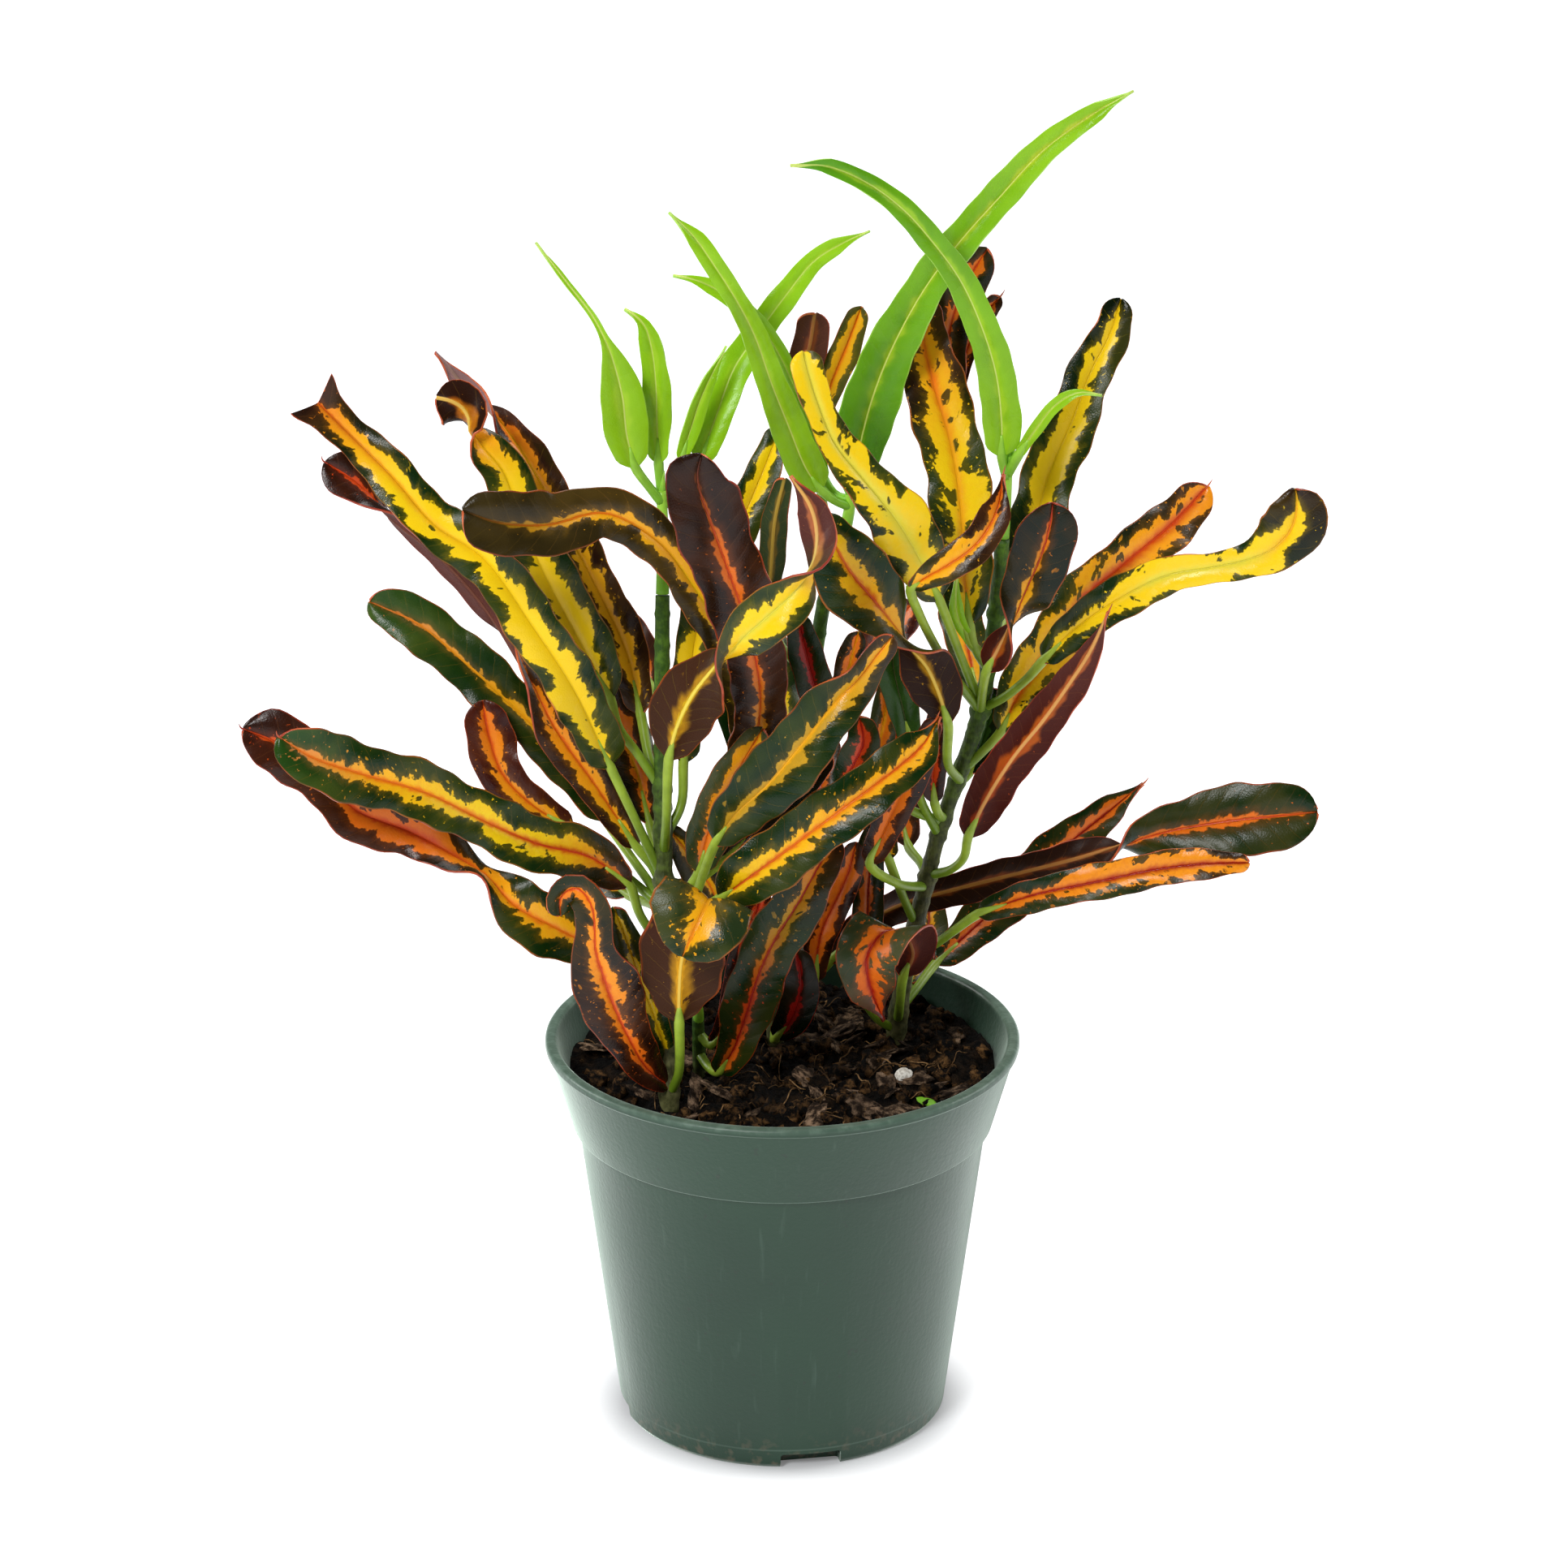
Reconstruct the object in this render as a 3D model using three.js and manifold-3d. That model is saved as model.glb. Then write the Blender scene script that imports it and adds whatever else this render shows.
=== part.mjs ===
// Potted croton: a plastic nursery pot of soil, four leafy stems and three tufts of fresh lime leaves.
// Millimetres, +Z up. The pot stands on z = 0 with its axis on the Z axis, and -Y is the front.
import * as THREE from 'three';
import { mergeVertices } from 'three/addons/utils/BufferGeometryUtils.js';
import Module from 'manifold-3d';

const wasm = await Module();
wasm.setup();

// Pot
const POT_HEIGHT = 99;
const RIM_RADIUS = 58.4;
const RIM_THICKNESS = 3;
const RIM_LIP_HEIGHT = 2.4;
const BASE_RADIUS = 40.6;
const BAND_DEPTH = 22;
const BAND_FOOT_RADIUS = 51.9;
const BAND_STEP = 1.5;
const WALL_THICKNESS = 1.6;
const FLOOR_THICKNESS = 2;
const NOTCH_WIDTH = 15;
const NOTCH_HEIGHT = 4;
const NOTCH_COUNT = 4;
const FIRST_NOTCH_DEG = -80;
const POT_SIDES = 36;

// Soil
const CLEARANCE = 0.3;
const SOIL_LEVEL = POT_HEIGHT - 8;
const SOIL_RELIEF = 1.1;
const SOIL_RINGS = 6;
const ROOT_DEPTH = 12;

// Leaves and stems
const BLADE_THICKNESS = 0.8;
const STATION_STEP = 11.5;
const WAVE_LENGTH = 29;
const STALK_RADIUS = 1.25;
const STALK_INSET = 4;
const STALK_STEP = 11;
const SEAM_TOLERANCE = 0.03;
const STEM_SIDES = 6;
const SCAR_SPACING = 9;
const SCAR_SWELL = 0.25;

// Stems, leaves and stalks are laid out as seen by an eye in front of the plant: across to the right and
// up from the centre of the rim, and how far back they lie behind the pot's axis.
const EYE_DISTANCE = 1500;
const EYE_LIFT = THREE.MathUtils.degToRad(23.4);
const FREE = null;

// Stem routes: across, up, back and diameter, from the soil to the top.
const STEMS = {
  left: [
    [-27.8, -18.4, -28, 4.8], [-28.8, 24.6, -22, 4.4], [-29.4, 44.6, -20, 4.2],
    [-29.7, 80, -14, 3.8], [-29.6, 108, -9, 3.4],
  ],
  centre: [
    [-1.8, -3.4, 10, 4.4], [0.2, 24.6, 10, 4.2], [3.2, 54.6, 11, 3.8], [7.8, 90.6, 12, 3.6],
    [10.8, 108.6, 12, 3.4], [15.4, 123.5, 12, 3.2],
  ],
  right: [
    [27.8, -2.4, 12, 4.6], [30.2, 15.2, 12, 4.2], [34.8, 34.4, 12, 4], [38.6, 49.4, 12, 3.8],
    [45, 67.6, 11, 3.8], [48.8, 79.4, 10, 3.8], [52.6, 102.6, 8, 3.6], [54.4, 122, 5, 3.4],
  ],
  front: [[-20.4, -9.8, -6, 3.4], [-20.6, -2, -6, 3.2], [-20.8, 4, -6, 2.8]],
};

// Fresh shoot routes, each standing on the stem of the same side.
const SHOOTS = {
  left: [[-29.6, 108.4, -9, 3.2], [-29.5, 120, -7, 3], [-29.8, 134, -5, 2.4]],
  centre: [[15.5, 123.9, 12, 3], [16.5, 129, 12, 2.8], [17, 134, 12, 2.4]],
  right: [[54.4, 122.4, 5, 3.2], [55, 130, 4.5, 3], [55.8, 140, 4, 2.2]],
};

// Leaves of each stem: name, stalk points, blade rows, fold in degrees and edge wave.
// A blade row is across, up, back, width and turn: 0 shows the upper face to the eye and 180 the underside.
const LEAVES = {
  left: [
    ["banner", [[-29.4, 38, -20], [-36, 52, -22]], [[-42.8, 66.4, -20, 10, 10], [-51, 84, -27, 13, 5],
      [-62, 101, -31, 12.5, 0], [-74, 117.5, -30, 12, -10], [-86, 125.5, -28, 12, 10],
      [-96, 137, -25, 11, 0], [-107, 148, -21, 9, 0], [-112.5, 153.5, -20, 9, 0],
      [-117, 158, -20, 14, 0]], 12, 0.9],
    ["rolled", [[-30, 37, -17], [-32, 41, -16]], [[-36, 46, -15, 5, 0], [-46.6, 61.8, -13, 10, 0],
      [-56, 75, -12, 11, 10], [-63, 88, -11, 10, 60], [-73, 104.4, -12, 10, 110], [-83, 117, -13, 9, 120],
      [-95, 127, -14, 9, 100], [-105, 138, -15, 9, 40], [-113, 141, -15, 8.5, 20]], 10, 0.4],
    ["broad", [[-29.6, 32.6, -21], [-37, 43, -11]], [[-44, 53, -6, 7, 0], [-54, 68, -4, 12, 5],
      [-66, 80, -2, 13, 10], [-79, 92, 1, 13, 5], [-90, 101, 3, 13, 0], [-102, 106.5, 5, 8.5, 0]], 12, 0.9],
    ["crook", [[-29.7, 60, -17], [-35.8, 69, -16], [-40.4, 75.4, -15]], [[-42.6, 82.8, -14, 9, 0],
      [-49.2, 95.2, -15, 15, 0], [-57, 109.8, -15, 15, 0], [-64, 125, -14, 12.5, 10],
      [-69.8, 138.8, -12, 11, 10], [-77, 147, -11, 6, 30], [-75, 152.5, -11, 8, 0],
      [-74.5, 157.5, -12, 8, 40], [-78, 160.5, -12, 8, 110], [-82, 159.5, -12, 9, 160],
      [-87, 156, -12, 7.5, 180]], 8, 0.6],
    ["ragged", [[-29.8, 60, -17], [-32.8, 67.6, -12]], [[-35, 79, -6, 6, 0], [-38.5, 94, -2, 11, 0],
      [-46.5, 111, 2, 11, 5], [-56, 129, 6, 11, 10], [-64, 146.5, 9, 11, 10], [-72, 156, 11, 8, 40],
      [-79, 162.5, 12, 6, 120], [-85.8, 168, 12, 2.4, 150]], 12, 0.9],
    ["paddle", [[-29.4, 31, -21], [-40, 40, -15]], [[-52, 50, -13, 6, 10], [-62, 56.5, -12, 9, 0],
      [-69, 64, -11, 11, -10], [-72.5, 74, -9, 12, 0], [-74, 82, -8, 10, 0]], 12, 0.8],
    ["sweep", [[-28.8, 20, -22], [-35, 29, -22]], [[-38, 37, -24, 8, -30], [-47.6, 43.5, -27, 13, -10],
      [-60.2, 46.6, -31, 14, 0], [-73, 52, -36, 13, 5], [-88.4, 59.4, -42, 14, 0],
      [-103.6, 63.8, -47, 15, 0], [-116, 68, -51, 14.5, 0], [-124, 73, -53, 12, 0]], 14, 1],
    ["wander", [[-28.6, 9, -24], [-38, 17, -26]], [[-45, 20.5, -28, 9, 0], [-55.2, 25.6, -31, 16.5, 0],
      [-66, 31.5, -33, 13, 0], [-73.2, 38.6, -33, 9, 80], [-82.6, 44.6, -32, 11, 20],
      [-92.2, 49.8, -31, 13, 0], [-105, 55, -30, 14, -10], [-114.8, 64.6, -30, 13, 0],
      [-124.8, 71.6, -30, 15, 0], [-133, 75, -30, 12, 0]], 12, 1],
    ["curl", [], [[-28, -13, -29, 4, 20], [-33.5, -8.5, -33, 9, 10], [-38.4, 0, -38, 12, 0],
      [-42, 8, -42, 16, 0], [-44.4, 15, -45, 17, 0], [-46, 20.6, -47, 10, -10], [-46.2, 26, -48, 9, -25],
      [-47, 31.6, -48, 9.5, -30], [-50.4, 35.8, -47, 9.5, -30], [-54.6, 33.8, -46, 8.5, -30],
      [-54.8, 29, -46, 6, -30]], 8, 0.4],
    ["apron", [[-27.8, -15, -28], [-25.6, -10, -32]], [[-25.4, 2.8, -38, 6, 180],
      [-25.4, 10, -42, 18, 180], [-24.8, 18, -44, 20, 180], [-22, 27, -46, 20, FREE],
      [-18.6, 32.6, -49, 19, FREE], [-18.4, 32.4, -53, 20, FREE], [-21, 26, -57, 21.5, 0],
      [-24.4, 18.6, -59, 20, 0]], 6, 0.8],
    ["keel", [[-28.6, 20, -22], [-23, 30, -28]], [[-16.4, 47, -38, 6, 0], [-11.8, 53.6, -40, 12, 0],
      [-2.8, 62, -44, 16, 0], [5.2, 71.6, -46, 15.5, 0], [13.2, 81.6, -45, 13, 10], [19, 88, -44, 10, 60],
      [23, 93, -43, 8, 40], [27.2, 98, -42, 6, 20]], 12, 0.8],
    ["lance", [[-28.8, 24, -22], [-21, 30, -36]], [[-15, 33.5, -43, 7, 0], [-10, 37, -46, 13, 0],
      [-1, 43.5, -47, 15, 0], [9.8, 51.5, -48, 14, 0], [20, 59, -46, 13, 0], [29.2, 66, -42, 12, 0],
      [35, 71.5, -39, 9.5, 0], [38.8, 78, -35, 2.4, 0]], 12, 0.8],
    ["shade", [[-29.6, 38, -20], [-31, 45, -12]], [[-32.8, 52, -8, 6, 0], [-36, 65, -4, 11, 0],
      [-40, 75, -2, 11, 0], [-43, 86, 1, 5, 0]], 12, 0.6],
    ["spoon", [[-29.2, 44.6, -20], [-28.6, 52, -29]], [[-28, 67.6, -36, 6, 180],
      [-26.2, 75, -41, 15, 180], [-22.4, 83, -45, 17.5, 180], [-17.2, 89.6, -49, 11, 150],
      [-13.2, 93.8, -52, 9, 60], [-8.6, 98.4, -55, 12, 0], [-2.6, 103.6, -57, 13, 0],
      [3.4, 109.4, -57, 11, 30], [7.6, 116, -55, 9, 110], [8.6, 123, -52, 9, 160],
      [7, 130, -50, 7.5, 170], [2, 137.6, -48, 2.4, 180]], 10, 0.5],
    ["spire", [[-29.4, 48, -19], [-25, 56, -16]], [[-24.4, 67, -13, 6, 0], [-22.8, 82, -10, 9.5, 0],
      [-21.5, 97, -7, 9.5, 0], [-18, 110, -4, 10, 0], [-11, 124, 4, 10, 0], [-5, 138, 9, 9, 0],
      [-0.5, 149.5, 13, 5, 0]], 12, 0.8],
    ["inner", [[-29.2, 33, -21], [-24, 35, -26]], [[-20.4, 40, -28, 6, 0], [-18.4, 48.6, -29, 11, 0],
      [-14.8, 57.6, -30, 11, 0], [-9.8, 66.6, -31, 10, 0], [-4.8, 75, -31, 6, 0]], 12, 0.6],
    ["droop", [], [[-28.2, 50.5, -18, 4, 0], [-22, 42.6, -14, 10, 0], [-17, 34.6, -12, 10, 0],
      [-14.5, 26.6, -11, 6, 0]], 12, 0.5],
    ["narrow", [], [[-28, -7, -27, 3, 0], [-31, 2, -30, 7, 0], [-35, 13, -32, 8, 0],
      [-38.5, 23, -33, 8, 0], [-41.5, 31, -33, 4, 0]], 12, 0.5],
    ["dusk", [[-29, 28, -21], [-20, 38, -24]], [[-14, 43, -27, 5, 0], [-5, 52, -30, 9, 0],
      [4, 61, -31, 9, 0], [12, 69, -31, 5, 0]], 12, 0.5],
    ["rear_left_a", [[-29.5, 56, -17], [-31, 60, -6]], [[-33, 64, 3, 6, 0], [-38, 75, 16, 11, 0],
      [-43, 86, 28, 12, 0], [-47, 95, 37, 8, 0]], 12, 0.8],
    ["rear_left_b", [[-29.5, 76, -14], [-30, 80, -5]], [[-32, 85, 4, 6, 0], [-36, 94, 15, 11, 0],
      [-41, 102, 26, 11, 0], [-45, 108, 34, 7, 0]], 12, 0.8],
    ["rear_left_c", [[-29, 30, -21], [-33, 32, -10]], [[-38, 34, -2, 6, 0], [-46, 40, 10, 11, 0],
      [-54, 46, 22, 11, 0], [-60, 50, 32, 7, 0]], 12, 0.8],
  ],
  centre: [
    ["arch", [[2.6, 45, 11], [-1, 50, 2]], [[-3.5, 55, -6, 6, 0], [-7.8, 74.6, -13, 10, 0],
      [-12.8, 94.6, -23, 11, 0], [-21.2, 109.2, -30, 11, 0], [-31.4, 122, -36, 11, 0],
      [-44.2, 128.4, -40, 12.5, 0], [-58, 125.5, -45, 15, 0], [-70, 126, -49, 16, 0],
      [-79, 129, -51, 13, 0]], 12, 0.7],
    ["mast", [[1.5, 38, 10], [-1, 38, -2]], [[-3.8, 43, -13, 8, 0], [-6, 56, -17, 14, 0],
      [-6.8, 68.6, -20, 13, 0], [-5.4, 83.6, -28, 13, 0], [-8.5, 100, -36, 15, 0],
      [-13.6, 114.8, -41, 17, 0], [-18, 127, -43, 17.5, 0], [-21, 137, -44, 17, 0],
      [-20, 143, -45, 14, 0]], 14, 0.8],
    ["plain", [[3.2, 54, 11], [-4, 60, 0]], [[-9.4, 67, -7, 5, 0], [-11.8, 78.6, -10, 8.5, 0],
      [-12, 88.6, -12, 8.5, 0], [-11, 98.6, -12, 5, 0]], 12, 0.6],
    ["ember", [[-1.4, 3, 10], [-2, -1, 2]], [[-1.5, -1, -6, 4, 0], [2.5, 4, -9, 9, 10],
      [4.5, 12, -10, 9.5, 10], [3.5, 20.5, -9, 6, 0]], 12, 0.5],
    ["chevron", [[2.8, 48, 11], [9, 54, -4]], [[14, 60, -16, 6, 0], [17.5, 66, -19, 9, 0],
      [20, 72, -20, 9, 0], [19, 78, -19, 5, 0]], 12, 0.5],
    ["plum", [[12.4, 114, 12], [6, 132, 19]], [[4.2, 148, 21, 5, 180], [4.2, 160.6, 22, 8.5, 180],
      [6.8, 170, 22, 9, 180], [8, 178, 21, 7, 180]], 12, 0.5],
    ["wisp", [[13.4, 117, 12], [9.5, 134, 18]], [[9.2, 150, 22, 4, 0], [12.2, 160.6, 24, 7, 0],
      [16, 170, 24, 7.5, 0], [19.6, 179.5, 22, 5, 0]], 12, 0.5],
    ["pewter", [[7.3, 88, 12], [0, 95, 4]], [[-3.8, 103, 0, 4, 180], [-2.8, 114.6, -3, 6.5, 180],
      [-1.8, 126.6, -6, 6.5, 180], [0.5, 137, -8, 4, 180]], 12, 0.5],
    ["garnet", [[4.8, 66, 11], [9, 70, 0]], [[11.2, 75, -8, 5, 0], [8.2, 84.6, -11, 9, 0],
      [5.6, 94.6, -13, 9, 0], [3.6, 103, -14, 5, 0]], 12, 0.5],
    ["flint", [[6.3, 78, 11.5], [12, 78, 0]], [[15.2, 84.6, -8, 5, 0], [16.6, 91, -10, 8, 0],
      [18.8, 99, -11, 4, 0]], 12, 0.4],
    ["strap", [[-0.8, 6, 10], [3, 10, 24], [8, 13.5, 34]], [[12, 18, 36, 5, 180],
      [19.2, 26, 33, 8, 180], [29.2, 31.6, 27, 8.5, 180], [43.2, 35.6, 22, 8.5, 180],
      [59.2, 39.6, 16, 9, 180], [74, 43.4, 11, 9, 180], [80, 45.2, 9.6, 9, 150], [84, 46.4, 9, 9, 90],
      [88, 47.8, 8.6, 10, 30], [94, 49.4, 7.6, 13, 0], [101, 50.8, 7, 15.5, 0], [110, 52.2, 6, 17.5, 0],
      [119, 53.2, 5, 17.5, 0], [127, 54, 5, 16, 0], [132, 54.5, 5, 11, 0]], 10, 0.7],
    ["amber", [[-0.8, 8, 10], [4, 9, 6]], [[7.8, 13, 3, 5, 0], [9.6, 24.6, 0, 8, 0],
      [13.2, 32.6, -2, 8, 0], [16.2, 39.6, -3, 8, 0], [18.2, 47, -3, 4, 0]], 12, 0.5],
    ["rear_centre_a", [[4.5, 62, 11], [5, 66, 22]], [[3, 68, 28, 6, 0], [0, 80, 40, 11, 0],
      [-3, 92, 50, 12, 0], [-5, 102, 57, 8, 0]], 12, 0.8],
    ["rear_centre_b", [[5.4, 72, 11.5], [10, 76, 20]], [[13, 80, 28, 6, 0], [19, 90, 38, 11, 0],
      [26, 99, 48, 12, 0], [32, 106, 56, 8, 0]], 12, 0.8],
    ["rear_centre_c", [[2.6, 48, 10.5], [0, 52, 22]], [[-3, 56, 30, 6, 0], [-6, 66, 42, 11, 0],
      [-8, 74, 52, 11, 0], [-9, 80, 60, 7, 0]], 12, 0.8],
    ["rear_centre_d", [[2, 44, 10.5], [6, 47, 20]], [[8, 50, 28, 6, 0], [9, 58, 38, 11, 0],
      [10, 66, 48, 11, 0], [10, 73, 56, 7, 0]], 12, 0.8],
    ["rear_centre_e", [[-0.6, 14, 10], [-4, 17, 20]], [[-8, 20, 28, 6, 0], [-16, 26, 38, 11, 0],
      [-23, 32, 46, 11, 0], [-28, 36, 52, 7, 0]], 12, 0.8],
  ],
  right: [
    ["slip", [[38.4, 49, 12], [34, 58, 2]], [[31.6, 72, -8, 5, 0], [29.6, 80.6, -11, 8, 0],
      [27.4, 90.6, -12, 8.5, 0], [27.2, 101, -12, 5, 0]], 12, 0.5],
    ["ladle", [[44, 62, 11.5], [40.8, 66.6, -2]], [[40.8, 76.6, -12, 6, 180], [38.5, 84, -16, 13, 180],
      [35.5, 90.5, -20, 13.5, 170], [31, 95.8, -26, 8, 100], [27.5, 100.5, -29, 11, 30],
      [22, 107.5, -32, 18, 0], [16, 115, -33, 18.5, 0], [12.5, 122, -33, 13, 0], [11.3, 128, -32, 5, 0]],
      10, 0.6],
    ["canary", [[49, 80.5, 10], [44, 93, -5]], [[38.6, 107.2, -18, 7, 0], [34.2, 116.6, -22, 14, 0],
      [28, 127, -25, 15, 0], [20.2, 136.6, -26, 11, 10], [13, 145.6, -25, 8.5, 20],
      [9.2, 154.6, -24, 7, 0], [6.5, 163, -22, 8, 0], [5.2, 168.5, -20, 7, 0]], 10, 0.8],
    ["torch", [[50.6, 90, 9], [47.5, 95, 3]], [[46.2, 101, -1, 7, 0], [44.8, 114.6, 0, 14, 0],
      [44, 130.6, 3, 15, 0], [41.4, 146.6, 7, 15.5, 0], [37.5, 160, 11, 15, 0], [35, 171, 14, 13, 0],
      [34.4, 182, 16, 8, 0]], 12, 0.9],
    ["raven", [[52.7, 104, 8], [46, 125, 16]], [[42.5, 142, 20, 6, 0], [40.5, 159, 22, 9, 0],
      [41.6, 174.6, 23, 10, 0], [46, 186, 22, 10, 0], [50.8, 194, 21, 8, 0]], 12, 0.6],
    ["needle", [[53, 108, 7.5], [46, 130, 20]], [[41.5, 150, 27, 3, 0], [43.6, 162.6, 29, 5, 0],
      [47.2, 172.6, 29, 5.5, 0], [51.5, 179.5, 28, 5, 0], [53.8, 182, 28, 3, 0]], 12, 0.3],
    ["hook", [[48.8, 79.6, 10], [41, 90, -8], [34, 103, -24]], [[31.8, 110, -30, 3, 40],
      [35.5, 112.5, -32, 6, 20], [41, 115.5, -33, 8, 0], [48.2, 121, -32, 8.5, 0], [53, 129, -29, 8, 0],
      [54.6, 138, -25, 2.4, 0]], 12, 0.5],
    ["beacon", [[48.8, 79, 10], [49.5, 85, 0]], [[50.5, 89.6, -6, 6, 180], [53.5, 95, -10, 9, 150],
      [56.5, 101, -13, 6, 80], [60, 109, -15, 13, 0], [64.2, 118.6, -17, 15.5, 0],
      [66.4, 127, -18, 13, 0], [66.8, 131, -18, 9, 0]], 10, 0.6],
    ["blade", [[52.8, 104, 8], [56, 110, 10]], [[58.5, 114.5, 12, 8, 0], [62, 124, 16, 14, 0],
      [66, 138, 21, 13.5, 0], [71.6, 151, 26, 12.5, 0], [76.4, 163.5, 30, 11, 0], [81.2, 173, 33, 9.5, 0],
      [83.8, 181.5, 35, 7.5, 0]], 14, 0.9],
    ["plume", [[44.6, 65, 11.2], [50, 70, 10]], [[54, 74.5, 10, 5, 0], [57.5, 82, 11, 11, 0],
      [64, 92, 12, 13, 0], [74.2, 107, 13, 13, 0], [84, 115.5, 13, 13, 0], [96, 125.5, 12, 12, 0],
      [105, 135, 11, 9, 0]], 12, 0.9],
    ["oar", [[49, 80, 10], [54.4, 82.6, 6], [60.2, 87.2, 2]], [[64.5, 92, -2, 5, 0], [72, 99.5, -5, 9.5, 0],
      [84, 107.6, -9, 10.5, 0], [95.2, 113, -12, 9.5, 0], [105.2, 114.8, -14, 7, 20],
      [114, 116.6, -16, 8, 10], [121, 119.4, -18, 12, 0], [125.8, 124.6, -20, 15, 0],
      [127.2, 131, -20, 15, 0], [126.8, 134.4, -20, 11, 0]], 10, 0.7],
    ["quill", [[36.4, 39, 12], [41.5, 40.3, 5], [44.8, 43.5, -1]], [[45.8, 48.4, -4, 7, 180],
      [50, 57, -9, 10.5, 180], [57, 68, -14, 11, 180], [64.8, 77.6, -18, 10, 180],
      [71.2, 86.6, -20, 9, 170], [76, 94, -21, 5, 150], [80.6, 104, -22, 1.8, 140]], 12, 0.6],
    ["dart", [[28.9, 6, 12.3], [33, 11, 18]], [[37.8, 17.2, 27, 6, 0], [48, 26.6, 36, 12, 0],
      [59.2, 36.6, 44, 12.5, 0], [69.2, 45.6, 51, 12, 0], [79.2, 53.6, 57, 9, 0],
      [89, 61.5, 60, 2.4, 0]], 12, 0.8],
    ["ribbon", [[31, 18.5, 12], [37, 21.5, 9], [42, 25, 5]], [[48.4, 29.4, 2, 5, 0],
      [61.2, 33.8, -2, 8.5, 0], [76.4, 37, -5, 9, 0], [91.8, 40.2, -7, 9, 0], [103.2, 41.6, -9, 8, 0],
      [115, 42, -10, 4, 0]], 12, 0.8],
    ["hood", [[28.4, 3, 12], [29, 8, 3]], [[29.8, 14, -3, 5, 180], [32.2, 19.6, -6, 12, 180],
      [29.8, 24.4, -9, 15, FREE], [24.5, 24.4, -14, 16, FREE], [20.8, 18.6, -17, 16, 0],
      [21.8, 11, -17, 12, 0], [25, 3, -15, 2.4, 0]], 8, 0.5],
    ["tawny", [[32.8, 27, 12], [30, 33, 8]], [[26.2, 43, 2, 5, 0], [23.8, 52.6, -1, 8, 0],
      [21.2, 62.6, -2, 8, 0], [20.2, 71, -2, 4, 0]], 12, 0.5],
    ["sentry", [[28.2, 1, 12], [24, 3, 9], [20.5, 8, 6]], [[20.2, 13, 5, 5, 0], [20.8, 22, 6, 7.5, 0],
      [21.2, 35.6, 7, 8, 0], [22.2, 46.6, 8, 7, 0], [24.2, 54, 9, 4, 0]], 12, 0.4],
    ["cinder", [[35.2, 36, 12], [28, 37, -4]], [[21.5, 42, -12, 5, 0], [27, 54, -16, 9, 0],
      [33, 66.5, -19, 9, 0], [38, 77.5, -20, 4, 0]], 12, 0.5],
    ["russet", [[39.8, 53, 12], [38.5, 54, 6]], [[37.5, 57, 2, 4, 0], [37.2, 65, 1, 7, 0],
      [38.2, 75, 0, 7, 0], [39.2, 83, 0, 4, 0]], 12, 0.4],
    ["sloe", [[43, 61.5, 11.5]], [[46, 64, 14, 4, 0], [49, 71, 17, 8, 0], [51, 78, 19, 8, 0],
      [52.5, 85, 20, 4, 0]], 12, 0.5],
    ["apricot", [[39.5, 52, 12], [30, 56, 2]], [[23.5, 63, -5, 4, 0], [24.2, 72.6, -6, 7, 0],
      [26.2, 82.6, -6, 7, 0], [28.2, 93, -6, 4, 0]], 12, 0.4],
    ["sprout", [[51, 92, 9]], [[46.5, 96.2, 2, 2.4, 0], [43, 104.2, -6, 3.6, 0],
      [43, 114, -8, 2, 0]], 8, 0.2],
    ["rear_right_a", [[47.6, 76, 10.5], [48, 80, 18]], [[48, 84, 26, 6, 0], [46, 94, 36, 11, 0],
      [44, 104, 45, 11, 0], [43, 112, 52, 7, 0]], 12, 0.8],
    ["rear_right_b", [[35.6, 38, 12], [34, 42, 20]], [[31, 46, 26, 6, 0], [29, 56, 36, 11, 0],
      [28, 66, 45, 11, 0], [28, 74, 52, 7, 0]], 12, 0.8],
    ["rear_right_c", [[50.8, 92, 9], [53, 97, 16]], [[55, 101, 22, 6, 0], [58, 110, 30, 10, 0],
      [60, 118, 36, 11, 0], [61, 125, 41, 7, 0]], 12, 0.8],
    ["rear_right_d", [[28.9, 5, 12], [30, 8, 22]], [[31, 12, 30, 6, 0], [34, 20, 40, 10, 0],
      [36, 27, 48, 11, 0], [36, 33, 54, 7, 0]], 12, 0.8],
  ],
  front: [
    ["stripe", [[-20.5, -5, -6], [-18, -8.5, -11]], [[-15.5, -9.5, -16, 5, 0], [-12, -4, -20, 9, 0],
      [-8.8, 5, -22, 13, 0], [-5.8, 14.6, -24, 13.5, 0], [-1.8, 23, -26, 13.5, 0],
      [4.2, 32.6, -27, 13, 0], [9.2, 41.6, -27, 11, 0], [13.2, 48.6, -26, 7, 0]], 12, 0.8],
    ["streak", [[-20.7, 0, -6]], [[-17.5, -3, -9, 3, 0], [-13.4, 2, -12, 6.5, 0],
      [-10.8, 14.6, -15, 7, 0], [-7.8, 24.6, -17, 7, 0], [-5.5, 33, -19, 6, 0],
      [-4.5, 39, -20, 3, 0]], 12, 0.5],
  ],
};

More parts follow.
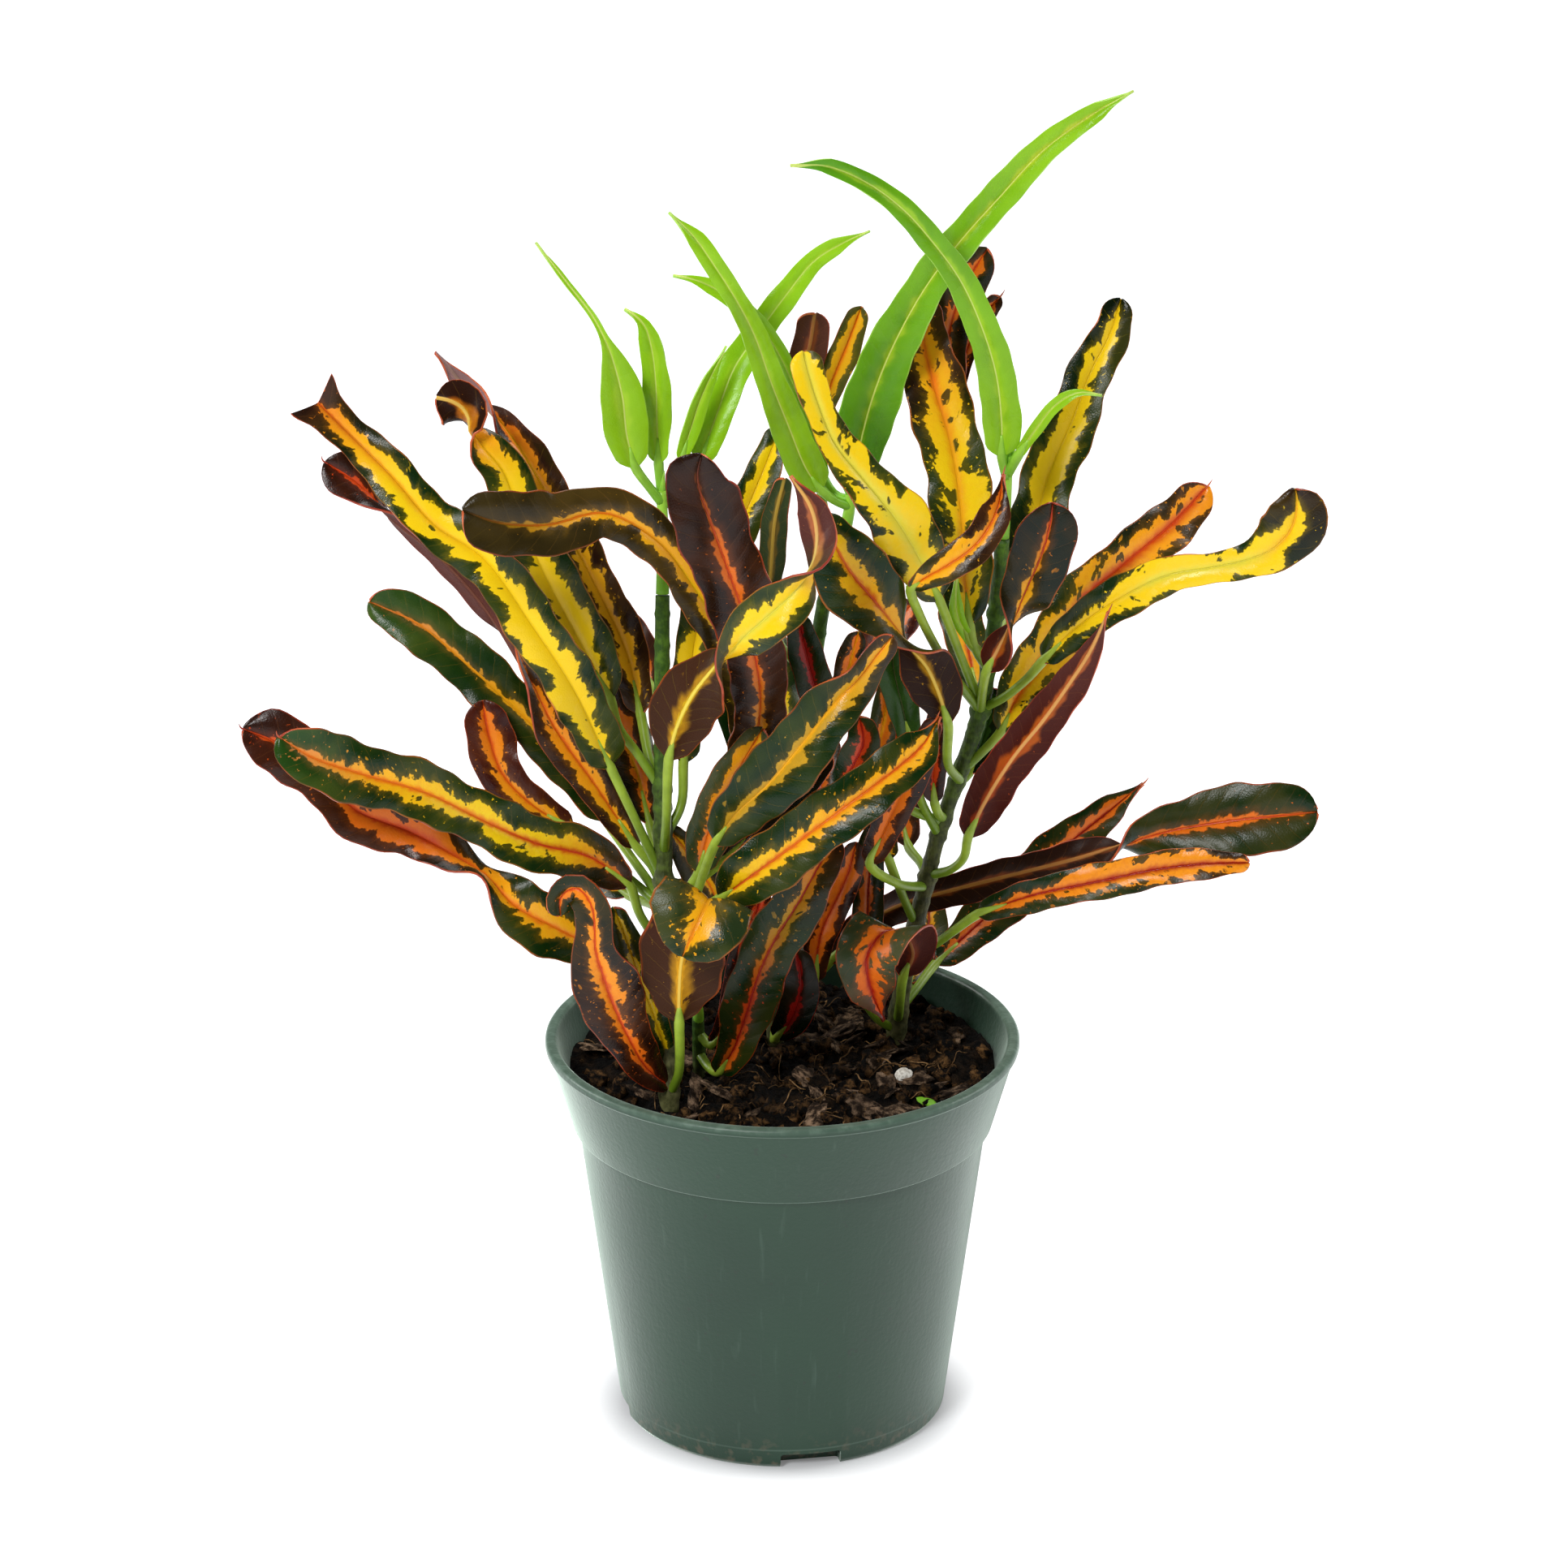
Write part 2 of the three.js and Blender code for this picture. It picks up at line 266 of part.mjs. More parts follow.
// Lime leaves of each fresh shoot, in the same form.
const LIME_LEAVES = {
  left: [
    ["thread", [[-29.8, 131, -5.4], [-33, 135, -7]], [[-36.5, 140, -8, 6, 0], [-38.5, 148, -8.5, 11, 0],
      [-39.5, 157, -9, 11, 0], [-41.5, 165, -9.5, 7, 0], [-43.5, 170.5, -10, 2.2, 0],
      [-47, 177.4, -10.5, 1.4, 0], [-53.4, 185.6, -11.5, 1.5, 0], [-61, 195.5, -12, 1.2, 0]], 10, 0.2],
    ["ruffle", [[-29.7, 131, -5.4], [-30.2, 136, -4]], [[-30.6, 141, -3.5, 4.5, 0],
      [-31, 151, -3, 7, 0], [-31.3, 160.5, -2, 7, 0], [-32.4, 169.6, -1, 5.5, 0], [-34.5, 175.5, -1, 4, 0],
      [-39, 179, -1, 2, 0]], 12, 0.7],
    ["sickle", [[-29.7, 130, -5.6], [-24, 136, 0]], [[-20.5, 141, 3, 6, 0], [-16.5, 152, 6, 8.5, 0],
      [-11.8, 164.5, 11, 8, 0], [-6, 173, 13, 7, 0], [1, 182.5, 14, 6.4, 0], [8, 191, 13, 5, 0],
      [15, 195.4, 11, 3.8, 0], [21.6, 198.4, 9, 1.4, 0]], 12, 0.4],
    ["folded", [[-29.7, 131.5, -5.3], [-27, 137, -2]], [[-25, 141.5, -1, 3, 0], [-22.5, 150, 0, 5, 30],
      [-20, 157.5, 1, 4.5, 30], [-13.8, 169.8, 3, 1.4, 0]], 20, 0.2],
  ],
  centre: [
    ["bow", [[16.7, 130, 12], [13, 131.5, 10]], [[9.2, 134.5, 8, 7, 0], [5.8, 139.5, 6, 9.6, 0],
      [1.5, 150, 2, 9, 0], [-2.5, 160, -3, 7.5, 0], [-6.8, 172.2, -7, 6, 0], [-11.4, 181.2, -12, 5.2, 0],
      [-17, 190, -14, 5, 0], [-22, 197, -15, 4.6, 0], [-28, 203, -16, 1.6, 0]], 12, 0.3],
    ["feeler", [[16.8, 131.5, 12], [13, 133, 14]], [[10.2, 137, 15, 3, 0], [7.6, 148, 14, 4.6, 0],
      [3.6, 158, 11, 4.4, 0], [-1, 168, 7, 4.4, 0], [-7, 176.6, 3, 4.2, 0], [-14, 182.4, 0, 4, 0],
      [-21, 186, -1, 3.4, 0], [-27, 187.3, -2, 1.6, 0]], 12, 0.3],
    ["sabre", [[16.8, 131, 12]], [[17.2, 135, 12, 7, 0], [19.6, 147, 12, 14, 0],
      [23, 159, 10, 14.5, 0], [28, 171, 7, 12.5, 0], [35.6, 184.6, 3, 10, 0], [44, 195.8, 0, 9, 0],
      [54, 207, -3, 8.5, 0], [64, 217.8, -6, 7.5, 0], [77, 227.5, -9, 5, 0], [87, 233.3, -10, 1.4, 0]],
      22, 0.4],
  ],
  right: [
    ["scythe", [[55.5, 137, 4.2]], [[54.2, 143, 2, 7, 0], [54.2, 151, 0, 9.8, 0],
      [52.8, 163, -4, 9, 0], [49, 175.4, -9, 8, 0], [44.2, 185.8, -12, 7, 0], [38, 194.6, -15, 6.4, 0],
      [30, 203.6, -17, 5.6, 0], [20.5, 210.6, -18, 4.8, 0], [10.5, 214.6, -19, 3.6, 0],
      [2, 214.7, -20, 1.4, 0]], 12, 0.4],
    ["tendril", [[55.6, 138, 4.1]], [[58.5, 143, 0, 2.4, 0], [62.6, 149, -3, 3.2, 0],
      [67.4, 155, -5, 3.2, 0], [73, 158.2, -6, 3, 0], [79, 157.6, -6, 1.2, 0]], 10, 0.2],
  ],
};
const FORKED_LEAF = 'banner';
const FORK_DEPTH = 3;
const POINTED_BELOW = 3;

const towardEye = new THREE.Vector3(0, -Math.cos(EYE_LIFT), Math.sin(EYE_LIFT));

// The place, in the part's own frame, of a point given as the eye sees it.
function place(across, up, back) {
  const sine = Math.sin(EYE_LIFT);
  const cosine = Math.cos(EYE_LIFT);
  const nearer = (up * sine - back) / (cosine + (up * sine) / EYE_DISTANCE);
  const shrink = 1 - nearer / EYE_DISTANCE;
  return new THREE.Vector3(across * shrink, back, POT_HEIGHT + (up * shrink - back * sine) / cosine);
}

function solid(points, faces) {
  const volume = faces.reduce(
    (sum, [a, b, c]) => sum + points[a].dot(points[b].clone().cross(points[c])), 0);
  const turned = volume > 0 ? faces : faces.map(([a, b, c]) => [a, c, b]);
  const geometry = new THREE.BufferGeometry();
  geometry.setAttribute(
    'position', new THREE.Float32BufferAttribute(points.flatMap((point) => point.toArray()), 3));
  geometry.setIndex(turned.flat());
  return geometry;
}

// Faces between rings of equal count, without the two ends. A face with flip true is split the other way.
function sideFaces(ringCount, size, flip = () => false) {
  const faces = [];
  for (let ring = 0; ring < ringCount - 1; ring += 1) {
    for (let k = 0; k < size; k += 1) {
      const a = ring * size + k;
      const b = ring * size + ((k + 1) % size);
      if (flip(k)) faces.push([a, b, a + size], [b, b + size, a + size]);
      else faces.push([a, b, b + size], [a, b + size, a + size]);
    }
  }
  return faces;
}

// A closed solid from rings of points, with a fan from a middle point at each end.
function ringSolid(rings) {
  const size = rings[0].length;
  const points = rings.flat();
  const faces = sideFaces(rings.length, size);
  const middle = (ring) => ring
    .reduce((sum, point) => sum.add(point), new THREE.Vector3())
    .divideScalar(size);
  const first = points.length;
  points.push(middle(rings[0]), middle(rings[rings.length - 1]));
  const lastRing = (rings.length - 1) * size;
  for (let k = 0; k < size; k += 1) {
    const next = (k + 1) % size;
    faces.push([first, next, k], [first + 1, lastRing + k, lastRing + next]);
  }
  return solid(points, faces);
}

function toManifold(geometry) {
  const bare = geometry.clone();
  bare.deleteAttribute('normal');
  bare.deleteAttribute('uv');
  const merged = mergeVertices(bare, 1e-4);
  return new wasm.Manifold(new wasm.Mesh({
    numProp: 3,
    vertProperties: new Float32Array(merged.attributes.position.array),
    triVerts: new Uint32Array(merged.index.array),
  }));
}

function toGeometry(manifold) {
  const mesh = manifold.getMesh();
  const geometry = new THREE.BufferGeometry();
  geometry.setAttribute('position', new THREE.Float32BufferAttribute(mesh.vertProperties, 3));
  geometry.setIndex(Array.from(mesh.triVerts));
  geometry.computeVertexNormals();
  return geometry;
}

// One body from many, with the crumbs along their seams merged away.
const fuse = (geometries) => toGeometry(
  geometries.map(toManifold).reduce((whole, piece) => whole.add(piece)).simplify(SEAM_TOLERANCE));

// A smooth route through points, with what each point carries blended along it.
function route(points) {
  const curve = new THREE.CatmullRomCurve3(points, false, 'centripetal');
  const spans = points.length - 1;
  const blend = (values, t) => {
    const span = Math.min(Math.floor(t * spans), spans - 1);
    const part = t * spans - span;
    return typeof values[0] === 'number'
      ? THREE.MathUtils.lerp(values[span], values[span + 1], part)
      : values[span].clone().lerp(values[span + 1], part);
  };
  return { curve, blend };
}

// A round stem or stalk with a radius for each point of its route.
function tube(points, radii, sides, step, swell = 0, grow = 0) {
  const { curve, blend } = route(points);
  const length = curve.getLength();
  const count = Math.max(1, Math.round(length / step));
  const rings = [];
  let side = new THREE.Vector3(1, 0, 0);
  for (let i = 0; i <= count; i += 1) {
    const t = curve.getUtoTmapping(i / count);
    const along = curve.getTangent(t);
    side = side.clone().addScaledVector(along, -side.dot(along)).normalize();
    const other = along.clone().cross(side);
    const radius = blend(radii, t) + grow + (i % 2 ? swell : 0);
    const centre = curve.getPoint(t);
    rings.push(Array.from({ length: sides }, (_, k) => {
      const angle = (2 * Math.PI * k) / sides;
      return centre.clone()
        .addScaledVector(side, radius * Math.cos(angle))
        .addScaledVector(other, radius * Math.sin(angle));
    }));
  }
  return ringSolid(rings);
}

// How far across the blade each row's edge lies, as a direction square to the row's run.
function bladeSides(curve, rows) {
  const sides = rows.map(([, , , , turn], i) => {
    if (turn === FREE) return null;
    const along = curve.getTangent(i / (rows.length - 1));
    return towardEye.clone().cross(along).normalize()
      .applyAxisAngle(along, THREE.MathUtils.degToRad(turn));
  });
  return sides.map((side, i) => {
    if (side) return side;
    const before = sides.findLastIndex((other, k) => k < i && other);
    const after = sides.findIndex((other, k) => k > i && other);
    return sides[before].clone().lerp(sides[after], (i - before) / (after - before)).normalize();
  });
}

// Distances from the base at which a blade has a section: close together at the base and at a round tip.
function stationsOf(length, firstWidth, tipWidth) {
  const start = Math.min(0.5 * firstWidth, 0.15 * length);
  const roundTip = tipWidth >= POINTED_BELOW;
  const end = roundTip ? length - 0.5 * tipWidth : length;
  const count = Math.max(3, Math.round((end - start) / STATION_STEP));
  const stations = [0];
  for (let i = 0; i <= count; i += 1) stations.push(start + ((end - start) * i) / count);
  if (roundTip) stations.push(length - 0.18 * tipWidth, length);
  return stations;
}

// The part of the full width that the blade has at a distance from its base.
function outlineFactor(distance, length, firstWidth, tipWidth, forked) {
  const fromTip = length - distance;
  const base = Math.min(1, 0.45 + (0.55 * distance) / Math.min(0.5 * firstWidth, 0.15 * length));
  if (forked || tipWidth < POINTED_BELOW || fromTip >= 0.5 * tipWidth) return base;
  const share = fromTip / tipWidth;
  return base * Math.max(0.3, 2 * Math.sqrt(share * (1 - share)));
}

// A leaf blade: two faces, with a midrib line and waved edges.
function blade([name, , rows, foldDegrees, wave], phase) {
  const { curve, blend } = route(rows.map(([across, up, back]) => place(across, up, back)));
  const widths = rows.map((row) => row[3]);
  const sides = bladeSides(curve, rows);
  const length = curve.getLength();
  const tipWidth = widths[widths.length - 1];
  const fold = THREE.MathUtils.degToRad(foldDegrees);
  const forked = name === FORKED_LEAF;
  const rings = stationsOf(length, widths[0], tipWidth).map((distance) => {
    const t = curve.getUtoTmapping(Math.min(1, distance / length));
    const along = curve.getTangent(t);
    const across = blend(sides, t);
    across.addScaledVector(along, -across.dot(along)).normalize();
    const normal = along.clone().cross(across);
    const outline = outlineFactor(distance, length, widths[0], tipWidth, forked);
    const half = 0.5 * blend(widths, t) * outline;
    const centre = curve.getPoint(t);
    if (forked && distance === length) centre.addScaledVector(along, -FORK_DEPTH);
    const run = (2 * Math.PI * distance) / WAVE_LENGTH + phase;
    const edge = (sign, shift) => curve.getPoint(t)
      .addScaledVector(across, sign * half * Math.cos(fold))
      .addScaledVector(normal, half * Math.sin(fold) + wave * Math.sin(run + shift));
    const spine = [edge(-1, 0), centre, edge(1, 2.4)];
    const lifted = (amount) => spine.map((point) => point.clone().addScaledVector(normal, amount));
    return [...lifted(BLADE_THICKNESS / 2), ...lifted(-BLADE_THICKNESS / 2).reverse()];
  });
  const faces = sideFaces(rings.length, 6, (k) => k === 3 || k === 4);
  const last = (rings.length - 1) * 6;
  for (const [a, b, c] of [[0, 1, 4], [0, 4, 5], [1, 2, 3], [1, 3, 4]]) {
    faces.push([a, c, b], [last + a, last + b, last + c]);
  }
  return solid(rings.flat(), faces);
}

// The stalk of a leaf, run on a little way under the blade's midrib.
function stalk([, stalkPoints, rows]) {
  const points = stalkPoints.map((point) => place(...point));
  const [base, next] = rows.map(([across, up, back]) => place(across, up, back));
  points.push(base, base.clone().lerp(next, Math.min(0.6, STALK_INSET / base.distanceTo(next))));
  const radius = Math.min(STALK_RADIUS, 0.5 * rows[1][3]);
  const radii = points.map((_, i) => (i < points.length - 1 ? radius : 0.7 * radius));
  return tube(points, radii, 4, STALK_STEP);
}

function leafSolids(leaves) {
  return leaves.flatMap((leaf, i) => {
    const pieces = [blade(leaf, 2.1 * i)];
    if (leaf[1].length > 0) pieces.push(stalk(leaf));
    return pieces;
  });
}

function stemPath(rows, rootDepth) {
  const points = rows.map(([across, up, back]) => place(across, up, back));
  const radii = rows.map((row) => row[3] / 2);
  if (rootDepth > 0) {
    points.unshift(points[0].clone().setZ(SOIL_LEVEL - rootDepth));
    radii.unshift(radii[0]);
  }
  return { points, radii };
}

function leafyStem(side) {
  const { points, radii } = stemPath(STEMS[side], ROOT_DEPTH);
  const stem = tube(points, radii, STEM_SIDES, SCAR_SPACING, SCAR_SWELL);
  return fuse([stem, ...leafSolids(LEAVES[side])]);
}

function freshShoot(side) {
  const { points, radii } = stemPath(SHOOTS[side], 0);
  const stem = tube(points, radii, STEM_SIDES, SCAR_SPACING);
  return fuse([stem, ...leafSolids(LIME_LEAVES[side])]);
}

function potOutline() {
  const bandTop = POT_HEIGHT - RIM_LIP_HEIGHT;
  const bandFoot = POT_HEIGHT - BAND_DEPTH;
  const wallTop = BAND_FOOT_RADIUS - BAND_STEP;
  const insideRim = RIM_RADIUS - RIM_THICKNESS;
  const outline = [
    [0, 0],
    [BASE_RADIUS - 1, 0],
    [BASE_RADIUS, 1.2],
    [wallTop, bandFoot - 0.6],
    [BAND_FOOT_RADIUS, bandFoot],
    [RIM_RADIUS - 0.9, bandTop],
    [RIM_RADIUS, bandTop + 0.5],
    [RIM_RADIUS, POT_HEIGHT - 0.6],
    [RIM_RADIUS - 0.6, POT_HEIGHT],
    [insideRim + 0.6, POT_HEIGHT],
    [insideRim, POT_HEIGHT - 0.6],
    [insideRim - 0.2, bandTop],
    [BAND_FOOT_RADIUS - 2.2, bandFoot + 1],
    [wallTop - WALL_THICKNESS, bandFoot - 2],
    [BASE_RADIUS - WALL_THICKNESS, FLOOR_THICKNESS],
    [0, FLOOR_THICKNESS],
  ];
  return outline.map(([radius, height]) => new THREE.Vector2(radius, height));
}

// The radius of the pot's inner wall at a height.
function innerRadius(height) {
  const inside = potOutline().slice(10, 15).reverse();
  const upper = inside.findIndex((point) => point.y >= height);
  const [low, high] = [inside[upper - 1], inside[upper]];
  return THREE.MathUtils.mapLinear(height, low.y, high.y, low.x, high.x);
}

function pot() {
  const upright = new THREE.Matrix4().makeRotationX(Math.PI / 2);
  let body = toManifold(new THREE.LatheGeometry(potOutline(), POT_SIDES).applyMatrix4(upright));
  for (let i = 0; i < NOTCH_COUNT; i += 1) {
    const angle = THREE.MathUtils.degToRad(FIRST_NOTCH_DEG + (360 / NOTCH_COUNT) * i);
    const notch = new THREE.BoxGeometry(10, NOTCH_WIDTH, 2 * NOTCH_HEIGHT);
    notch.translate(BASE_RADIUS, 0, 0).rotateZ(angle);
    body = body.subtract(toManifold(notch));
  }
  return toGeometry(body);
}

// The height of the loose soil surface, higher and rougher in places.
function soilHeight(x, y) {
  const lumps = Math.sin(0.31 * x + 0.7) * Math.cos(0.27 * y)
    + 0.6 * Math.sin(0.16 * x - 0.42 * y + 1.3)
    + 0.4 * Math.cos(0.55 * x + 0.35 * y);
  return SOIL_LEVEL + 0.5 * SOIL_RELIEF * lumps;
}

function soil() {
  const circle = (radius, height) => Array.from({ length: POT_SIDES }, (_, k) => {
    const angle = (2 * Math.PI * k) / POT_SIDES;
    const x = radius * Math.cos(angle);
    const y = radius * Math.sin(angle);
    return new THREE.Vector3(x, y, height ?? soilHeight(x, y));
  });
  const edge = (height) => innerRadius(height) - 2 * CLEARANCE;
  const floor = FLOOR_THICKNESS + CLEARANCE;
  const brim = SOIL_LEVEL - 2 * SOIL_RELIEF;
  const bandFoot = POT_HEIGHT - BAND_DEPTH;
  const rings = [
    circle(edge(floor), floor),
    circle(edge(bandFoot - 2), bandFoot - 2),
    circle(edge(bandFoot + 1), bandFoot + 1),
    circle(edge(brim), brim),
  ];
  for (let i = SOIL_RINGS; i > 0; i -= 1) rings.push(circle((edge(brim) * i) / SOIL_RINGS));
  let body = toManifold(ringSolid(rings));
  for (const rows of Object.values(STEMS)) {
    const { points, radii } = stemPath(rows.slice(0, 2), ROOT_DEPTH + CLEARANCE);
    const hole = tube(points, radii, STEM_SIDES, SCAR_SPACING, 0, SCAR_SWELL + 2 * CLEARANCE);
    body = body.subtract(toManifold(hole));
  }
  return toGeometry(body);
}

const plastic = new THREE.MeshStandardMaterial({ color: 0x4d6a5b, roughness: 0.45, metalness: 0 });
const peat = new THREE.MeshStandardMaterial({ color: 0x2b211a, roughness: 0.95, metalness: 0 });
const foliage = new THREE.MeshStandardMaterial({ color: 0x5d5a1e, roughness: 0.35, metalness: 0 });
const lime = new THREE.MeshStandardMaterial({ color: 0x7cc22e, roughness: 0.35, metalness: 0 });

function named(name, geometry, material) {
  const mesh = new THREE.Mesh(geometry, material.clone());
  mesh.name = name;
  return mesh;
}

const croton = new THREE.Group();
croton.add(named('pot', pot(), plastic));
croton.add(named('soil', soil(), peat));
for (const side of Object.keys(STEMS)) {
  croton.add(named(`${side}_leafy_stem`, leafyStem(side), foliage));
}
for (const side of Object.keys(SHOOTS)) {
  croton.add(named(`${side}_fresh_shoot`, freshShoot(side), lime));
}

export default croton;
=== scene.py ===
import math
import random

import bpy
import numpy as np
from mathutils import Matrix, Vector, noise


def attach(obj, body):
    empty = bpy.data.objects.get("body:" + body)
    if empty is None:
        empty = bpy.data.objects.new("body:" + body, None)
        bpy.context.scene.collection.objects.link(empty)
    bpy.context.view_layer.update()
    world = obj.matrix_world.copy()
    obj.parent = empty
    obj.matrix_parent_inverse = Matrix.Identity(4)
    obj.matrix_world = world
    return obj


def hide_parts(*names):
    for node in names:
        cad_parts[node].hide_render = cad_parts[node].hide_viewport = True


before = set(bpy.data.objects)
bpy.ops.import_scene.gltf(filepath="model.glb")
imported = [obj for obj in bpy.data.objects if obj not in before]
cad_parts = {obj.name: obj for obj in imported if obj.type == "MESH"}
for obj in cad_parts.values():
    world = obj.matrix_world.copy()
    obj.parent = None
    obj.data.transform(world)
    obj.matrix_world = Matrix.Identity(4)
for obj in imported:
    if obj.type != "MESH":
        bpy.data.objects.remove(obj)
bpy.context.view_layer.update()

MM = 0.001

# The pot and its soil, as in the source, in millimetres
POT_HEIGHT = 99
BASE_RADIUS = 40.6
POT_OUTLINE = [
    (0, 0), (39.6, 0), (40.6, 1.2), (50.4, 76.4), (51.9, 77), (57.5, 96.6), (58.4, 97.1),
    (58.4, 98.4), (57.8, 99), (56, 99), (55.4, 98.4), (55.2, 96.6), (49.7, 78), (48.8, 75),
    (39, 2), (0, 2),
]
NOTCH_ANGLES = (-80, 10, 100, 190)
NOTCH_WIDTH = 15
NOTCH_HEIGHT = 4
SOIL_LEVEL = 91
SOIL_EDGE_RADIUS = 52.4
SOIL_SKIRT = [(50.9, 79), (52.0, 85)]
ROOT_DEPTH = 12

# The plant is laid out as seen by an eye in front of it: across, up from the middle of the rim,
# and back.
EYE_DISTANCE = 1500
EYE_LIFT = math.radians(23.4)
TOWARD_EYE = np.array([0, -math.cos(EYE_LIFT), math.sin(EYE_LIFT)])
AIM_ACROSS = 0.4
AIM_UP = 61.4
FREE = None

# Stem routes: across, up, back and diameter, from the soil to the top.
STEMS = {
    "left": [
        [-27.8, -18.4, -28, 4.8], [-28.8, 24.6, -22, 4.4], [-29.4, 44.6, -20, 4.2],
        [-29.7, 80, -14, 3.8], [-29.6, 108, -9, 3.4],
    ],
    "centre": [
        [-1.8, -3.4, 10, 4.4], [0.2, 24.6, 10, 4.2], [3.2, 54.6, 11, 3.8], [7.8, 90.6, 12, 3.6],
        [10.8, 108.6, 12, 3.4], [15.4, 123.5, 12, 3.2],
    ],
    "right": [
        [27.8, -2.4, 12, 4.6], [30.2, 15.2, 12, 4.2], [34.8, 34.4, 12, 4], [38.6, 49.4, 12, 3.8],
        [45, 67.6, 11, 3.8], [48.8, 79.4, 10, 3.8], [52.6, 102.6, 8, 3.6], [54.4, 122, 5, 3.4],
    ],
    "front": [[-20.4, -9.8, -6, 3.4], [-20.6, -2, -6, 3.2], [-20.8, 4, -6, 2.8]],
}

# Fresh shoot routes, each standing on the stem of the same side.
SHOOTS = {
    "left": [[-29.6, 108.4, -9, 3.2], [-29.5, 120, -7, 3], [-29.8, 134, -5, 2.4]],
    "centre": [[15.5, 123.9, 12, 3], [16.5, 129, 12, 2.8], [17, 134, 12, 2.4]],
    "right": [[54.4, 122.4, 5, 3.2], [55, 130, 4.5, 3], [55.8, 140, 4, 2.2]],
}

